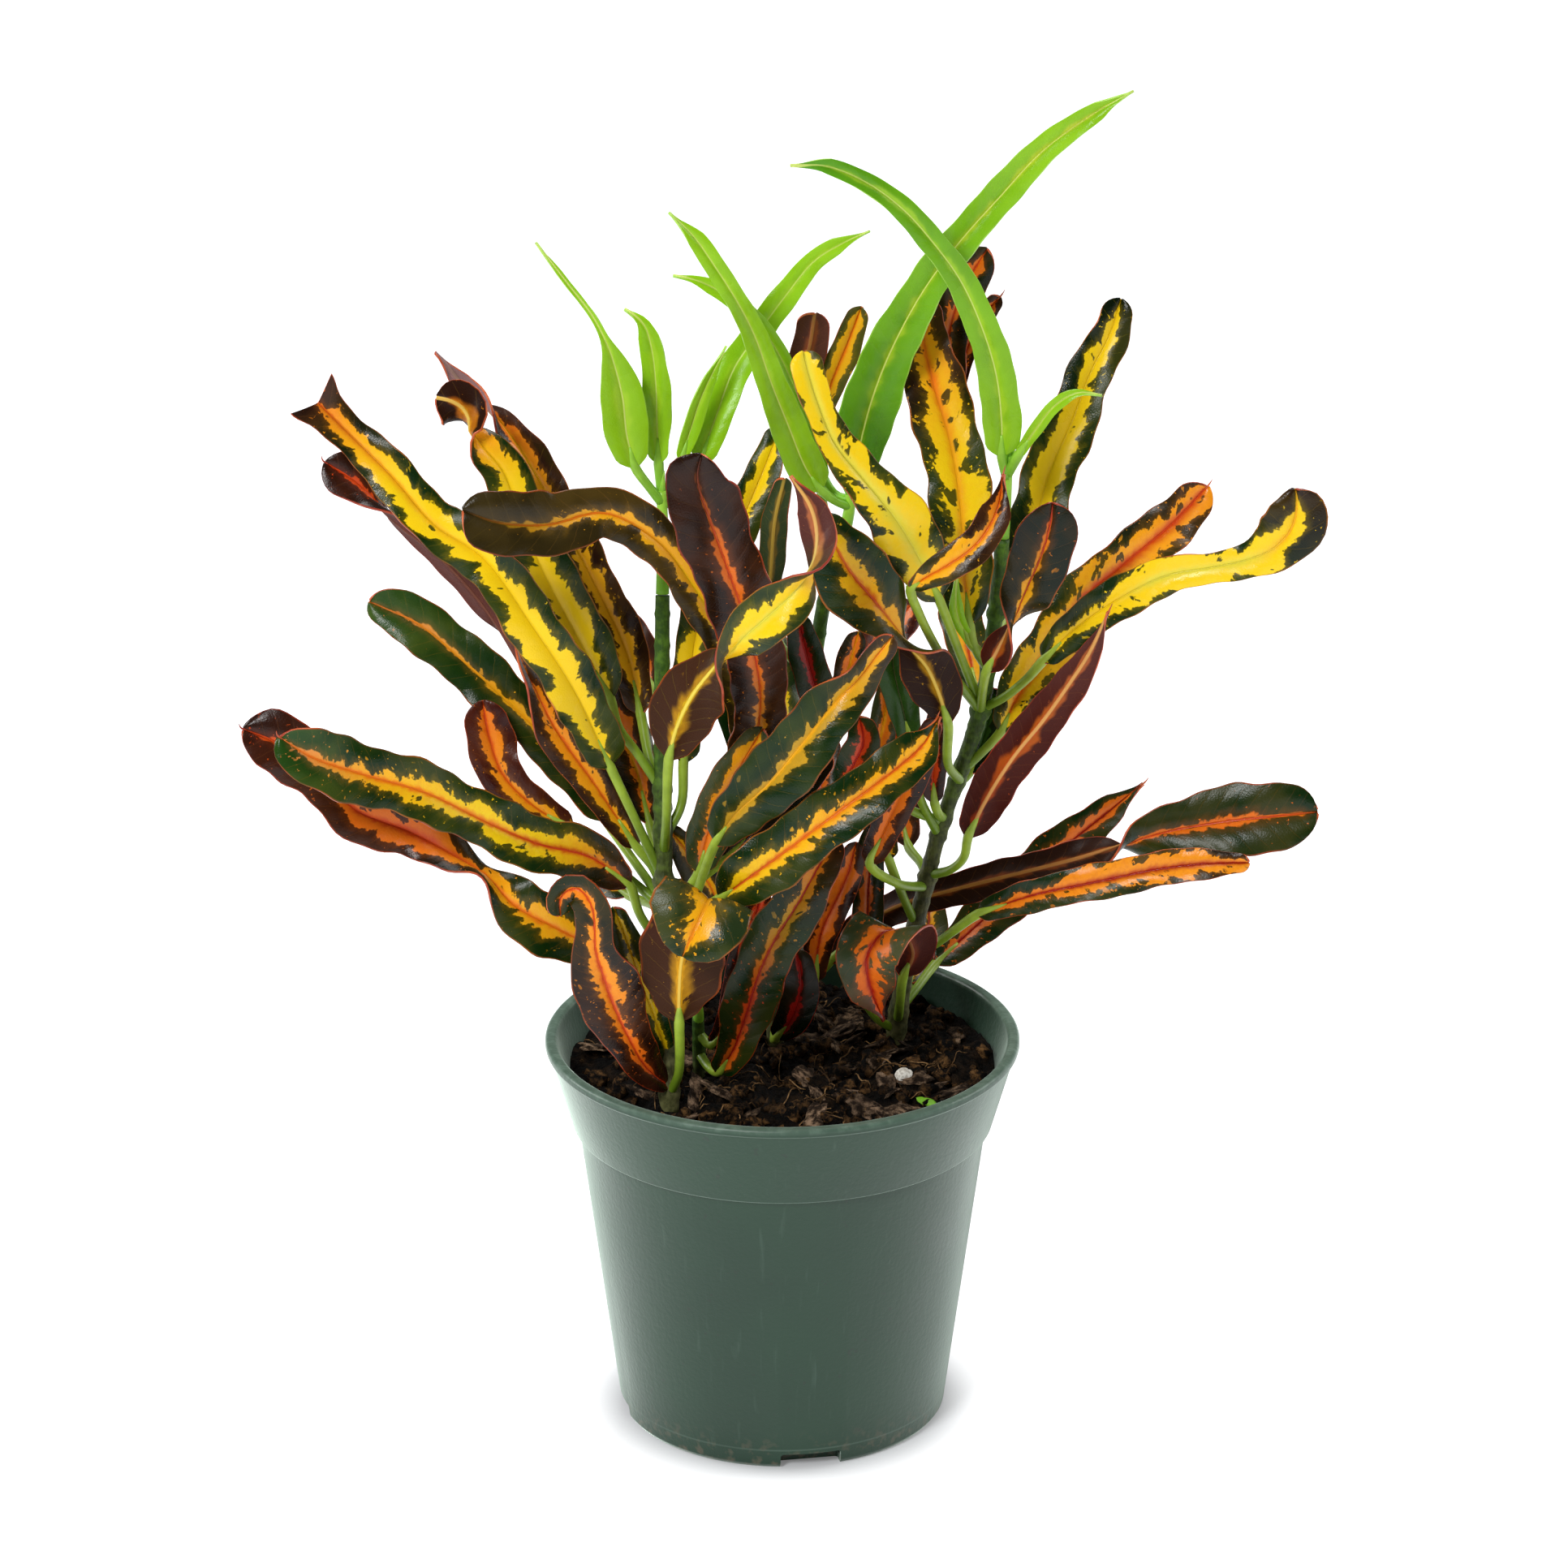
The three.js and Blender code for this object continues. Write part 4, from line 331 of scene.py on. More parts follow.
# Lime leaves of each fresh shoot, in the same form.
LIME_LEAVES = {
    "left": [
      ["thread", [[-29.8, 131, -5.4], [-33, 135, -7]],
       [[-36.5, 140, -8, 6, 0], [-38.5, 148, -8.5, 11, 0], [-39.5, 157, -9, 11, 0],
        [-41.5, 165, -9.5, 7, 0], [-43.5, 170.5, -10, 2.2, 0], [-47, 177.4, -10.5, 1.4, 0],
        [-53.4, 185.6, -11.5, 1.5, 0], [-61, 195.5, -12, 1.2, 0]], 10, 0.2],
      ["ruffle", [[-29.7, 131, -5.4], [-30.2, 136, -4]],
       [[-30.6, 141, -3.5, 4.5, 0], [-31, 151, -3, 7, 0], [-31.3, 160.5, -2, 7, 0],
        [-32.4, 169.6, -1, 5.5, 0], [-34.5, 175.5, -1, 4, 0], [-39, 179, -1, 2, 0]], 12, 0.7],
      ["sickle", [[-29.7, 130, -5.6], [-24, 136, 0]],
       [[-20.5, 141, 3, 6, 0], [-16.5, 152, 6, 8.5, 0], [-11.8, 164.5, 11, 8, 0],
        [-6, 173, 13, 7, 0], [1, 182.5, 14, 6.4, 0], [8, 191, 13, 5, 0], [15, 195.4, 11, 3.8, 0],
        [21.6, 198.4, 9, 1.4, 0]], 12, 0.4],
      ["folded", [[-29.7, 131.5, -5.3], [-27, 137, -2]],
       [[-25, 141.5, -1, 3, 0], [-22.5, 150, 0, 5, 30], [-20, 157.5, 1, 4.5, 30],
        [-13.8, 169.8, 3, 1.4, 0]], 20, 0.2],
    ],
    "centre": [
      ["bow", [[16.7, 130, 12], [13, 131.5, 10]],
       [[9.2, 134.5, 8, 7, 0], [5.8, 139.5, 6, 9.6, 0], [1.5, 150, 2, 9, 0],
        [-2.5, 160, -3, 7.5, 0], [-6.8, 172.2, -7, 6, 0], [-11.4, 181.2, -12, 5.2, 0],
        [-17, 190, -14, 5, 0], [-22, 197, -15, 4.6, 0], [-28, 203, -16, 1.6, 0]], 12, 0.3],
      ["feeler", [[16.8, 131.5, 12], [13, 133, 14]],
       [[10.2, 137, 15, 3, 0], [7.6, 148, 14, 4.6, 0], [3.6, 158, 11, 4.4, 0], [-1, 168, 7, 4.4, 0],
        [-7, 176.6, 3, 4.2, 0], [-14, 182.4, 0, 4, 0], [-21, 186, -1, 3.4, 0],
        [-27, 187.3, -2, 1.6, 0]], 12, 0.3],
      ["sabre", [[16.8, 131, 12]],
       [[17.2, 135, 12, 7, 0], [19.6, 147, 12, 14, 0], [23, 159, 10, 14.5, 0],
        [28, 171, 7, 12.5, 0], [35.6, 184.6, 3, 10, 0], [44, 195.8, 0, 9, 0], [54, 207, -3, 8.5, 0],
        [64, 217.8, -6, 7.5, 0], [77, 227.5, -9, 5, 0], [87, 233.3, -10, 1.4, 0]], 22, 0.4],
    ],
    "right": [
      ["scythe", [[55.5, 137, 4.2]],
       [[54.2, 143, 2, 7, 0], [54.2, 151, 0, 9.8, 0], [52.8, 163, -4, 9, 0], [49, 175.4, -9, 8, 0],
        [44.2, 185.8, -12, 7, 0], [38, 194.6, -15, 6.4, 0], [30, 203.6, -17, 5.6, 0],
        [20.5, 210.6, -18, 4.8, 0], [10.5, 214.6, -19, 3.6, 0], [2, 214.7, -20, 1.4, 0]], 12, 0.4],
      ["tendril", [[55.6, 138, 4.1]],
       [[58.5, 143, 0, 2.4, 0], [62.6, 149, -3, 3.2, 0], [67.4, 155, -5, 3.2, 0],
        [73, 158.2, -6, 3, 0], [79, 157.6, -6, 1.2, 0]], 10, 0.2],
    ],
}

# Leaf colours, in 0 to 255
TINTS = {
    "forest": (17, 48, 10), "bottle": (12, 26, 6), "moss": (46, 84, 24), "slate": (58, 72, 40),
    "wine": (67, 22, 14), "umber": (43, 20, 9), "olive": (70, 72, 26), "plum": (92, 50, 44),
    "sun": (244, 204, 20), "gold": (240, 172, 22), "flame": (232, 116, 22), "ember": (206, 66, 22),
    "crimson": (168, 26, 16), "peach": (222, 130, 76), "rose": (196, 74, 60),
    "lemon": (226, 214, 70), "lime": (142, 196, 22), "bright": (180, 214, 50),
    "deep": (72, 142, 18), "cocoa": (62, 34, 16), "ochre": (190, 146, 34), "mauve": (146, 112, 112),
    "honey": (238, 146, 24), "bronze": (54, 43, 14),
}

# How each leaf is painted, at even steps from its base to its tip: body, band and heart tints, the
# share of the half width that the band takes, how much of it is flecked, the underside's tint, and
# how plainly the band shows there, where that differs from UNDER_BAND.
UNDER_BAND = 0.35
PAINT = {
    "banner": [
        "forest sun sun 0.4 0.2 slate", "forest sun sun 0.62 0.2 slate",
        "forest sun sun 0.6 0.3 slate", "forest sun gold 0.5 0.4 plum",
        "umber flame ember 0.5 0.6 plum",
    ],
    "rolled": [
        "umber gold flame 0.45 0.5 plum 0.05", "umber flame ember 0.2 0.5 plum 0.05",
        "umber ember ember 0.2 0.5 plum 0.05",
    ],
    "broad": [
        "forest gold flame 0.2 0.1 slate", "forest gold gold 0.15 0.1 slate",
        "moss peach flame 0.08 0.1 slate",
    ],
    "crook": [
        "forest sun sun 0.3 0.2 slate", "forest sun sun 0.42 0.2 slate",
        "forest sun sun 0.45 0.2 slate", "forest sun sun 0.42 0.2 slate",
        "forest sun sun 0.5 0.2 slate", "forest honey gold 0.75 0.3 umber 1.0",
        "umber flame honey 0.2 0.4 umber 0.9",
    ],
    "ragged": [
        "umber gold gold 0.4 0.6 plum", "umber gold gold 0.3 0.5 plum",
        "umber gold gold 0.28 0.5 plum", "umber flame gold 0.4 0.4 mauve",
        "umber umber umber 0.05 0.1 mauve 0.0",
    ],
    "paddle": ["wine gold flame 0.4 0.6 plum", "wine flame ember 0.35 0.6 plum"],
    "sweep": [
        "umber ember ember 0.3 0.4 wine", "forest sun ember 0.45 0.5 plum",
        "forest sun flame 0.4 0.5 plum", "forest gold flame 0.3 0.6 plum",
        "moss peach flame 0.12 0.8 plum",
    ],
    "wander": [
        "forest gold flame 0.28 0.3 plum", "forest gold flame 0.35 0.4 plum",
        "umber flame ember 0.65 0.5 plum", "umber flame ember 0.2 0.5 plum",
        "umber ember ember 0.04 0.3 plum",
    ],
    "curl": [
        "umber ember crimson 0.12 0.6 plum", "umber flame ember 0.24 0.9 plum",
        "umber honey ember 0.3 0.9 plum", "bottle honey ember 0.3 0.4 plum",
        "forest flame ember 0.35 0.6 plum",
    ],
    "apron": [
        "wine gold gold 0.4 0.3 cocoa 0.8", "wine gold gold 0.34 0.3 cocoa 0.8",
        "slate gold gold 0.26 0.9 wine 0.6", "forest gold flame 0.2 1.0 wine 0.6",
    ],
    "keel": [
        "forest ochre ochre 0.2 0.3 slate", "forest ochre gold 0.17 0.3 slate",
        "forest ochre gold 0.3 0.4 slate", "umber gold flame 0.55 0.4 plum",
    ],
    "lance": [
        "forest sun ember 0.3 0.3 slate", "forest gold flame 0.34 0.5 slate",
        "forest gold ember 0.4 0.4 plum",
    ],
    "shade": ["bottle flame gold 0.35 0.5 plum", "umber flame gold 0.35 0.5 plum"],
    "spoon": [
        "umber gold sun 0.3 0.1 cocoa 0.8", "umber gold sun 0.26 0.1 cocoa 0.8",
        "umber gold sun 0.2 0.1 cocoa 0.8", "slate sun lemon 0.5 0.2 slate 0.6",
        "forest sun lemon 0.5 0.2 slate 0.8", "plum peach peach 0.4 0.3 plum 0.9",
        "wine peach flame 0.3 0.3 plum 0.7",
    ],
    "spire": ["forest sun sun 0.5 0.2 slate", "forest sun sun 0.45 0.2 slate"],
    "inner": ["slate flame flame 0.35 0.5 plum", "slate gold flame 0.4 0.5 plum"],
    "droop": ["bottle gold flame 0.25 0.3 slate"],
    "narrow": ["forest sun sun 0.35 0.3 slate"],
    "dusk": ["bottle ember ember 0.15 0.3 wine"],
    "rear_left_a": ["forest sun flame 0.4 0.3 slate"],
    "rear_left_b": ["umber flame ember 0.35 0.5 plum"],
    "rear_left_c": ["forest gold ember 0.4 0.3 plum"],
    "arch": [
        "umber gold flame 0.3 0.3 plum", "bronze sun gold 0.34 0.2 plum",
        "bronze gold sun 0.3 0.3 plum", "bronze gold flame 0.24 0.2 plum",
        "bronze bronze bronze 0.0 0.1 plum",
    ],
    "mast": [
        "umber gold gold 0.26 0.4 plum", "umber gold flame 0.22 0.4 plum",
        "umber flame ember 0.2 0.4 plum", "umber flame ember 0.14 0.4 plum",
        "umber umber umber 0.0 0.3 plum",
    ],
    "plain": ["forest moss moss 0.1 0.0 slate"],
    "ember": ["bottle crimson crimson 0.2 0.3 wine"],
    "chevron": ["forest ember crimson 0.3 0.3 plum"],
    "plum": ["wine flame ember 0.3 0.3 plum"],
    "wisp": ["olive gold flame 0.5 0.5 plum"],
    "pewter": ["forest gold gold 0.3 0.3 slate"],
    "garnet": ["forest crimson crimson 0.25 0.4 wine"],
    "flint": ["bottle flame gold 0.4 0.4 plum"],
    "strap": [
        "umber flame flame 0.2 0.2 umber 0.3", "umber flame flame 0.2 0.2 umber 0.3",
        "forest flame ember 0.14 0.1 umber", "forest flame ember 0.12 0.1 umber",
    ],
    "amber": ["umber flame ember 0.5 0.5 plum"],
    "rear_centre_a": ["forest sun ember 0.4 0.4 slate"],
    "rear_centre_b": ["wine flame ember 0.35 0.4 plum"],
    "rear_centre_c": ["forest gold flame 0.4 0.4 slate"],
    "rear_centre_d": ["bottle flame ember 0.3 0.4 plum"],
    "rear_centre_e": ["forest sun gold 0.35 0.3 slate"],
    "slip": ["moss moss olive 0.1 0.1 slate"],
    "ladle": [
        "umber gold gold 0.15 0.3 umber 0.8", "umber gold gold 0.2 0.3 umber 0.8",
        "forest gold ember 0.3 0.3 umber", "forest sun flame 0.22 0.4 umber",
    ],
    "canary": [
        "forest sun lemon 0.45 0.8 lemon", "forest sun lemon 0.85 0.5 lemon",
        "forest sun lemon 0.8 0.9 lemon", "olive sun lemon 1.1 0.1 lemon",
    ],
    "torch": [
        "forest sun flame 0.4 0.6 plum", "forest sun gold 0.55 0.9 plum",
        "forest sun gold 0.6 1.0 plum", "umber gold flame 0.5 1.0 plum",
        "umber flame flame 0.25 0.8 plum",
    ],
    "raven": ["bottle flame ember 0.3 0.5 wine"],
    "needle": ["umber flame ember 0.5 0.4 rose"],
    "hook": [
        "forest gold flame 0.55 0.5 plum", "umber gold flame 0.5 0.5 plum",
        "umber ember ember 0.3 0.4 plum",
    ],
    "beacon": [
        "wine ember ember 0.4 0.3 wine 1.0", "bottle gold crimson 0.14 0.3 wine",
        "bottle ember crimson 0.08 0.2 wine",
    ],
    "blade": [
        "forest sun sun 0.42 0.4 slate", "forest sun sun 0.5 0.5 slate",
        "bottle sun sun 0.34 0.4 slate",
    ],
    "plume": [
        "forest sun flame 0.5 1.0 plum", "forest gold ember 0.75 1.0 plum",
        "umber honey ember 0.7 0.9 plum",
    ],
    "oar": [
        "forest sun sun 0.3 0.5 lemon", "forest sun sun 0.36 0.8 lemon",
        "forest sun sun 0.45 0.9 lemon", "forest sun lemon 0.75 0.4 lemon",
        "forest sun lemon 1.1 0.1 lemon", "forest sun lemon 0.95 0.1 lemon",
        "bottle sun gold 0.34 0.3 plum", "umber sun gold 0.08 0.2 plum",
    ],
    "quill": [
        "wine ember ember 0.2 0.4 wine 0.8", "wine flame ember 0.32 0.4 wine 0.9",
        "wine peach ember 0.3 0.4 plum 0.8",
    ],
    "dart": ["forest flame crimson 0.35 0.6 plum"],
    "ribbon": [
        "forest flame crimson 0.25 0.6 plum", "forest honey crimson 0.65 1.0 plum",
        "umber honey crimson 0.75 0.9 plum",
    ],
    "hood": [
        "umber ember ember 0.15 0.3 wine", "slate flame crimson 0.25 0.9 plum",
        "slate flame crimson 0.4 1.0 plum", "plum ember crimson 0.5 0.9 rose",
    ],
    "tawny": ["bottle gold flame 0.45 0.6 plum"],
    "sentry": ["forest flame crimson 0.35 0.6 plum"],
    "cinder": ["umber flame flame 0.35 0.5 plum"],
    "russet": ["umber ember ember 0.3 0.4 wine"],
    "sloe": ["bottle moss moss 0.2 0.1 slate"],
    "apricot": ["slate flame gold 0.5 0.5 plum"],
    "sprout": ["lime bright bright 0.3 0.0 bright"],
    "rear_right_a": ["forest gold ember 0.4 0.4 slate"],
    "rear_right_b": ["umber flame ember 0.35 0.4 plum"],
    "rear_right_c": ["forest sun gold 0.4 0.3 slate"],
    "rear_right_d": ["forest gold crimson 0.35 0.4 plum"],
    "stripe": [
        "forest flame crimson 0.4 0.4 plum", "forest ember crimson 0.2 0.5 plum",
        "forest ochre crimson 0.22 0.9 plum", "umber flame crimson 0.25 0.5 plum",
    ],
    "streak": ["umber ember crimson 0.4 0.5 wine"],
    "thread": ["lime bright bright 0.3 0.0 bright"],
    "ruffle": ["lime bright bright 0.3 0.0 bright"],
    "sickle": ["lime bright bright 0.2 0.0 bright"],
    "folded": ["lime bright bright 0.3 0.0 lime"],
    "bow": ["lime bright bright 0.12 0.0 lime", "lime bright bright 0.2 0.0 lime"],
    "feeler": ["lime bright bright 0.2 0.0 lime"],
    "sabre": ["deep bright bright 0.08 0.0 lime", "lime lemon lemon 0.2 0.0 lime"],
    "scythe": ["lime bright bright 0.2 0.0 lime", "deep bright bright 0.3 0.0 lime"],
    "tendril": ["lime bright bright 0.3 0.0 lime"],
}

# Buds at the top of each shoot: length, width and lean
BUDS = {
    "left": [(7, 1.6, (0.1, -0.2, 1))],
    "centre": [(9, 1.9, (-0.5, -0.1, 1)), (6, 1.6, (0.4, -0.3, 1))],
    "right": [(10, 3.0, (0.12, -0.1, 1)), (7, 2.2, (0.5, -0.4, 1))],
}

# Leaves with a fine point at the tip
AWNED = ("wander", "sweep", "needle", "plume", "dart", "hook", "quill", "cinder", "rolled")


def colour(red, green, blue):
    """A colour given in 0 to 255."""
    shares = (red / 255, green / 255, blue / 255)
    linear = [c / 12.92 if c <= 0.04045 else ((c + 0.055) / 1.055) ** 2.4 for c in shares]
    return (*linear, 1.0)


def tint(name):
    """A named leaf colour."""
    return colour(*TINTS[name])

def place(across, up, back):
    """A point as the eye sees it, in the part's own frame, in millimetres."""
    sine, cosine = math.sin(EYE_LIFT), math.cos(EYE_LIFT)
    nearer = (up * sine - back) / (cosine + up * sine / EYE_DISTANCE)
    shrink = 1 - nearer / EYE_DISTANCE
    return np.array([across * shrink, back, POT_HEIGHT + (up * shrink - back * sine) / cosine])


def unit(vectors):
    """Vectors of length one."""
    return vectors / np.linalg.norm(vectors, axis=-1, keepdims=True)


class Route:
    """A smooth route through points, measured along its length."""

    def __init__(self, points):
        ends = np.array(points, float)
        self.spans = len(points) - 1
        self.points = np.vstack([2 * ends[0] - ends[1], ends, 2 * ends[-1] - ends[-2]])
        self.gaps = np.sqrt(np.linalg.norm(np.diff(self.points, axis=0), axis=1))
        self.shares = np.linspace(0, 1, 401)
        steps = np.linalg.norm(np.diff(self.at(self.shares), axis=0), axis=1)
        self.reached = np.concatenate([[0], np.cumsum(steps)])
        self.length = self.reached[-1]

    def at(self, share):
        """The points at these shares of the route."""
        where = np.clip(np.atleast_1d(share), 0, 1) * self.spans
        first = np.minimum(where.astype(int), self.spans - 1)
        w = (where - first)[:, None]
        a, b, c, d = (self.points[first + k] for k in range(4))
        e, f, g = (self.gaps[first + k][:, None] for k in range(3))
        leave = ((b - a) / e - (c - a) / (e + f) + (c - b) / f) * f
        meet = ((c - b) / f - (d - b) / (f + g) + (d - c) / g) * f
        return (b + w * leave + w**2 * (3 * (c - b) - 2 * leave - meet)
                + w**3 * (2 * (b - c) + leave + meet))

    def heading(self, share):
        """Which way the route runs at these shares."""
        share = np.atleast_1d(share)
        return unit(self.at(np.minimum(share + 1e-4, 1)) - self.at(np.maximum(share - 1e-4, 0)))

    def share(self, distance):
        """The shares at these distances from the start."""
        return np.interp(distance, self.reached, self.shares)

    def carried(self, values, share):
        """What the route's points carry, blended along it."""
        values = np.array(values, float)
        where = np.clip(np.atleast_1d(share), 0, 1) * self.spans
        first = np.minimum(where.astype(int), self.spans - 1)
        part = where - first
        if values.ndim > 1:
            part = part[:, None]
        return values[first] * (1 - part) + values[first + 1] * part


def softened(values, reach):
    """Values with their corners rounded over a reach of samples."""
    window = np.hanning(2 * reach + 3)[1:-1]
    window /= window.sum()
    first, last = np.repeat(values[:1], reach, 0), np.repeat(values[-1:], reach, 0)
    padded = np.concatenate([first, values, last])
    if values.ndim == 1:
        return np.convolve(padded, window, "valid")
    return np.stack([np.convolve(column, window, "valid") for column in padded.T], axis=1)


def turned(vector, axis, degrees):
    """A vector turned about an axis."""
    return np.array(Matrix.Rotation(math.radians(degrees), 3, Vector(axis)) @ Vector(vector))


def deselect():
    """Nothing stays selected."""
    bpy.ops.object.select_all(action="DESELECT")


def chosen(piece):
    """Only this piece is selected and active."""
    deselect()
    piece.select_set(True)
    bpy.context.view_layer.objects.active = piece
    return piece


def finished(piece, kind, **settings):
    """A modifier added and applied."""
    chosen(piece)
    modifier = piece.modifiers.new(kind.lower(), kind)
    for name, value in settings.items():
        setattr(modifier, name, value)
    bpy.ops.object.modifier_apply(modifier=modifier.name)
    return piece


def sheet(name, points):
    """A sheet shaped from a flat grid, with a place in millimetres for each row and column."""
    rows, columns = points.shape[:2]
    deselect()
    bpy.ops.mesh.primitive_grid_add(x_subdivisions=columns - 1, y_subdivisions=rows - 1, size=1)
    made = bpy.context.object
    made.name = made.data.name = name
    flat = np.empty(3 * len(made.data.vertices))
    made.data.vertices.foreach_get("co", flat)
    flat = flat.reshape(-1, 3)
    column = np.rint((0.5 - flat[:, 0]) * (columns - 1)).astype(int)
    row = np.rint((flat[:, 1] + 0.5) * (rows - 1)).astype(int)
    made.data.vertices.foreach_set("co", (points[row, column] * MM).ravel())
    made.data.update()
    return made, row, column


def carry(piece, name, values, kind="FLOAT_VECTOR"):
    """A value of each point of the mesh, for the materials."""
    field = {"FLOAT": "value", "FLOAT_VECTOR": "vector", "FLOAT_COLOR": "color"}[kind]
    attribute = piece.data.attributes.new(name, kind, "POINT")
    attribute.data.foreach_set(field, np.ascontiguousarray(values, float).ravel())


def closed(piece, gap):
    """A sheet that meets itself: its doubled points made one and its open ends filled."""
    chosen(piece)
    bpy.ops.object.mode_set(mode="EDIT")
    bpy.ops.mesh.select_all(action="SELECT")
    bpy.ops.mesh.remove_doubles(threshold=gap)
    bpy.ops.mesh.fill_holes(sides=0)
    bpy.ops.object.mode_set(mode="OBJECT")
    bpy.ops.object.shade_smooth()
    return piece


def joined(pieces, name):
    """Pieces made one, under this name."""
    chosen(pieces[0])
    for piece in pieces[1:]:
        piece.select_set(True)
    bpy.ops.object.join()
    whole = bpy.context.object
    whole.name = whole.data.name = name
    return whole


def tube(name, points, radii, sides, step, bumps=()):
    """A round stem or stalk through points, with a radius for each, closed at both ends."""
    way = Route(points)
    count = max(3, round(way.length / step) + 1)
    distance = np.linspace(0, way.length, count)
    share = way.share(distance)
    centre, along = way.at(share), way.heading(share)
    radius = way.carried(radii, share)
    for middle, width, swell in bumps:
        radius = radius + swell * np.exp(-(((distance - middle) / width) ** 2))
    side, frames = np.array([1.0, 0, 0]), []
    for direction in along:
        side = unit(side - direction * side.dot(direction))
        frames.append((side, np.cross(direction, side)))
    angle = -np.linspace(0, 2 * np.pi, sides + 1)
    rings = np.array([
        c + r * (np.cos(angle)[:, None] * a + np.sin(angle)[:, None] * b)
        for c, r, (a, b) in zip(centre, radius, frames)
    ])
    made, row, _ = sheet(name, rings)
    carry(made, "run", distance[row] / way.length, "FLOAT")
    return closed(made, 1e-6)


# Leaf blades, in millimetres. COLUMNS are the places across the blade, from edge to edge.
LEFT_COLUMNS = [-1, -0.955, -0.86, -0.7, -0.52, -0.34, -0.18, -0.07]
COLUMNS = np.array([*LEFT_COLUMNS, 0, *[-c for c in reversed(LEFT_COLUMNS)]])
STATION_STEP = 1.5
BASE_STATIONS = 4
TIP_STATIONS = 6
ROUND_TIP_WIDTH = 3
POINT_LENGTH = 9
BLADE_THICKNESS = 0.55
MIDRIB_DEPTH = 0.18
MIDRIB_WIDTH = 0.5
STALK_RADIUS = 1.25
STALK_INSET = 4
FORKED_LEAF = "banner"
FORK_DEPTH = 3
FORK_LENGTH = 9

# Waves of the blade's edges: length, how far one leaf is ahead of the one before, and one side of
# the other. The first two lift the edge, the others move it outward.
WAVE, RIPPLE = (29, 2.1, 2.4), (11.7, 5.3, 1.1)
SWAY, QUIVER = (23, 3.7, 1.9), (9.1, 1.3, 0.8)


def blade_sides(way, rows):
    """Which way the blade's edge lies at each row."""
    sides = []
    for i, row in enumerate(rows):
        if row[4] is FREE:
            sides.append(None)
            continue
        along = way.heading(i / (len(rows) - 1))[0]
        sides.append(turned(unit(np.cross(TOWARD_EYE, along)), along, row[4]))
    known = [i for i, side in enumerate(sides) if side is not None]
    for i, side in enumerate(sides):
        if side is None:
            before = max(k for k in known if k < i)
            after = min(k for k in known if k > i)
            part = (i - before) / (after - before)
            sides[i] = unit(sides[before] * (1 - part) + sides[after] * part)
    return sides


def blade_stations(length, first_width, tip_width):
    """Distances from the base at which the blade has a row of points."""
    start = min(0.5 * first_width, 0.15 * length)
    round_tip = tip_width >= ROUND_TIP_WIDTH
    end = length - 0.5 * tip_width if round_tip else length
    count = max(4, round((end - start) / STATION_STEP))
    stations = [start * (1 - math.cos(0.5 * math.pi * k / BASE_STATIONS))
                for k in range(BASE_STATIONS)]
    stations += list(np.linspace(start, end, count + 1))
    if round_tip:
        stations += [end + 0.5 * tip_width * math.sin(0.5 * math.pi * k / TIP_STATIONS)
                     for k in range(1, TIP_STATIONS + 1)]
    return np.array(stations)


def outline_factor(distance, length, first_width, tip_width, forked):
    """The share of the full width that the blade has at these distances from its base."""
    start = min(0.5 * first_width, 0.15 * length)
    factor = 0.3 + 0.7 * np.sin(0.5 * np.pi * np.minimum(1, distance / start))
    if not forked and tip_width >= ROUND_TIP_WIDTH:
        share = np.clip((length - distance) / tip_width, 0, 0.5)
        factor = factor * np.maximum(0.1, 2 * np.sqrt(share * (1 - share)))
    if tip_width < ROUND_TIP_WIDTH:
        factor = factor * np.clip((length - distance) / POINT_LENGTH, 0.12, 1) ** 0.8
    return factor


def swing(distance, order, length, turn, shift):
    """One wave along both sides of a blade."""
    return np.sin((2 * np.pi * distance / length + turn * order)[:, None]
                  + np.where(COLUMNS[None, :] > 0, shift, 0))


def carry_paint(made, name, spread, travelled, length, seed):
    """The leaf's colours and pattern at each point, for the materials."""
    looks = [(*look.split(), UNDER_BAND)[:7] for look in PAINT[name]]
    looks = looks * 2 if len(looks) == 1 else looks
    stops = np.linspace(0, 1, len(looks))

    def painted(k):
        """One of the stops' values, blended along the leaf."""
        values = [float(look[k]) if k in (3, 4, 6) else tint(look[k]) for look in looks]
        columns = np.array(values, float).reshape(len(looks), -1).T
        return np.stack([np.interp(travelled / length, stops, column) for column in columns],
                        axis=1)

    for k, part in ((0, "body"), (1, "band"), (2, "heart"), (5, "under")):
        carry(made, f"{part}_tint", painted(k), "FLOAT_COLOR")
    lean = random.Random(seed).uniform(-0.14, 0.14) + (0.3 if name == FORKED_LEAF else 0)
    band = painted(3)[:, 0] * (1 + lean * np.sign(spread))
    band = band * np.clip(0.5 + 4 * travelled / length, 0.5, 1)
    if float(looks[-1][3]) < 0.7:
        band = band * np.clip((length - travelled) / (0.09 * length), 0, 1)
    carry(made, "pattern", np.stack([band, painted(4)[:, 0], painted(6)[:, 0]], axis=1))


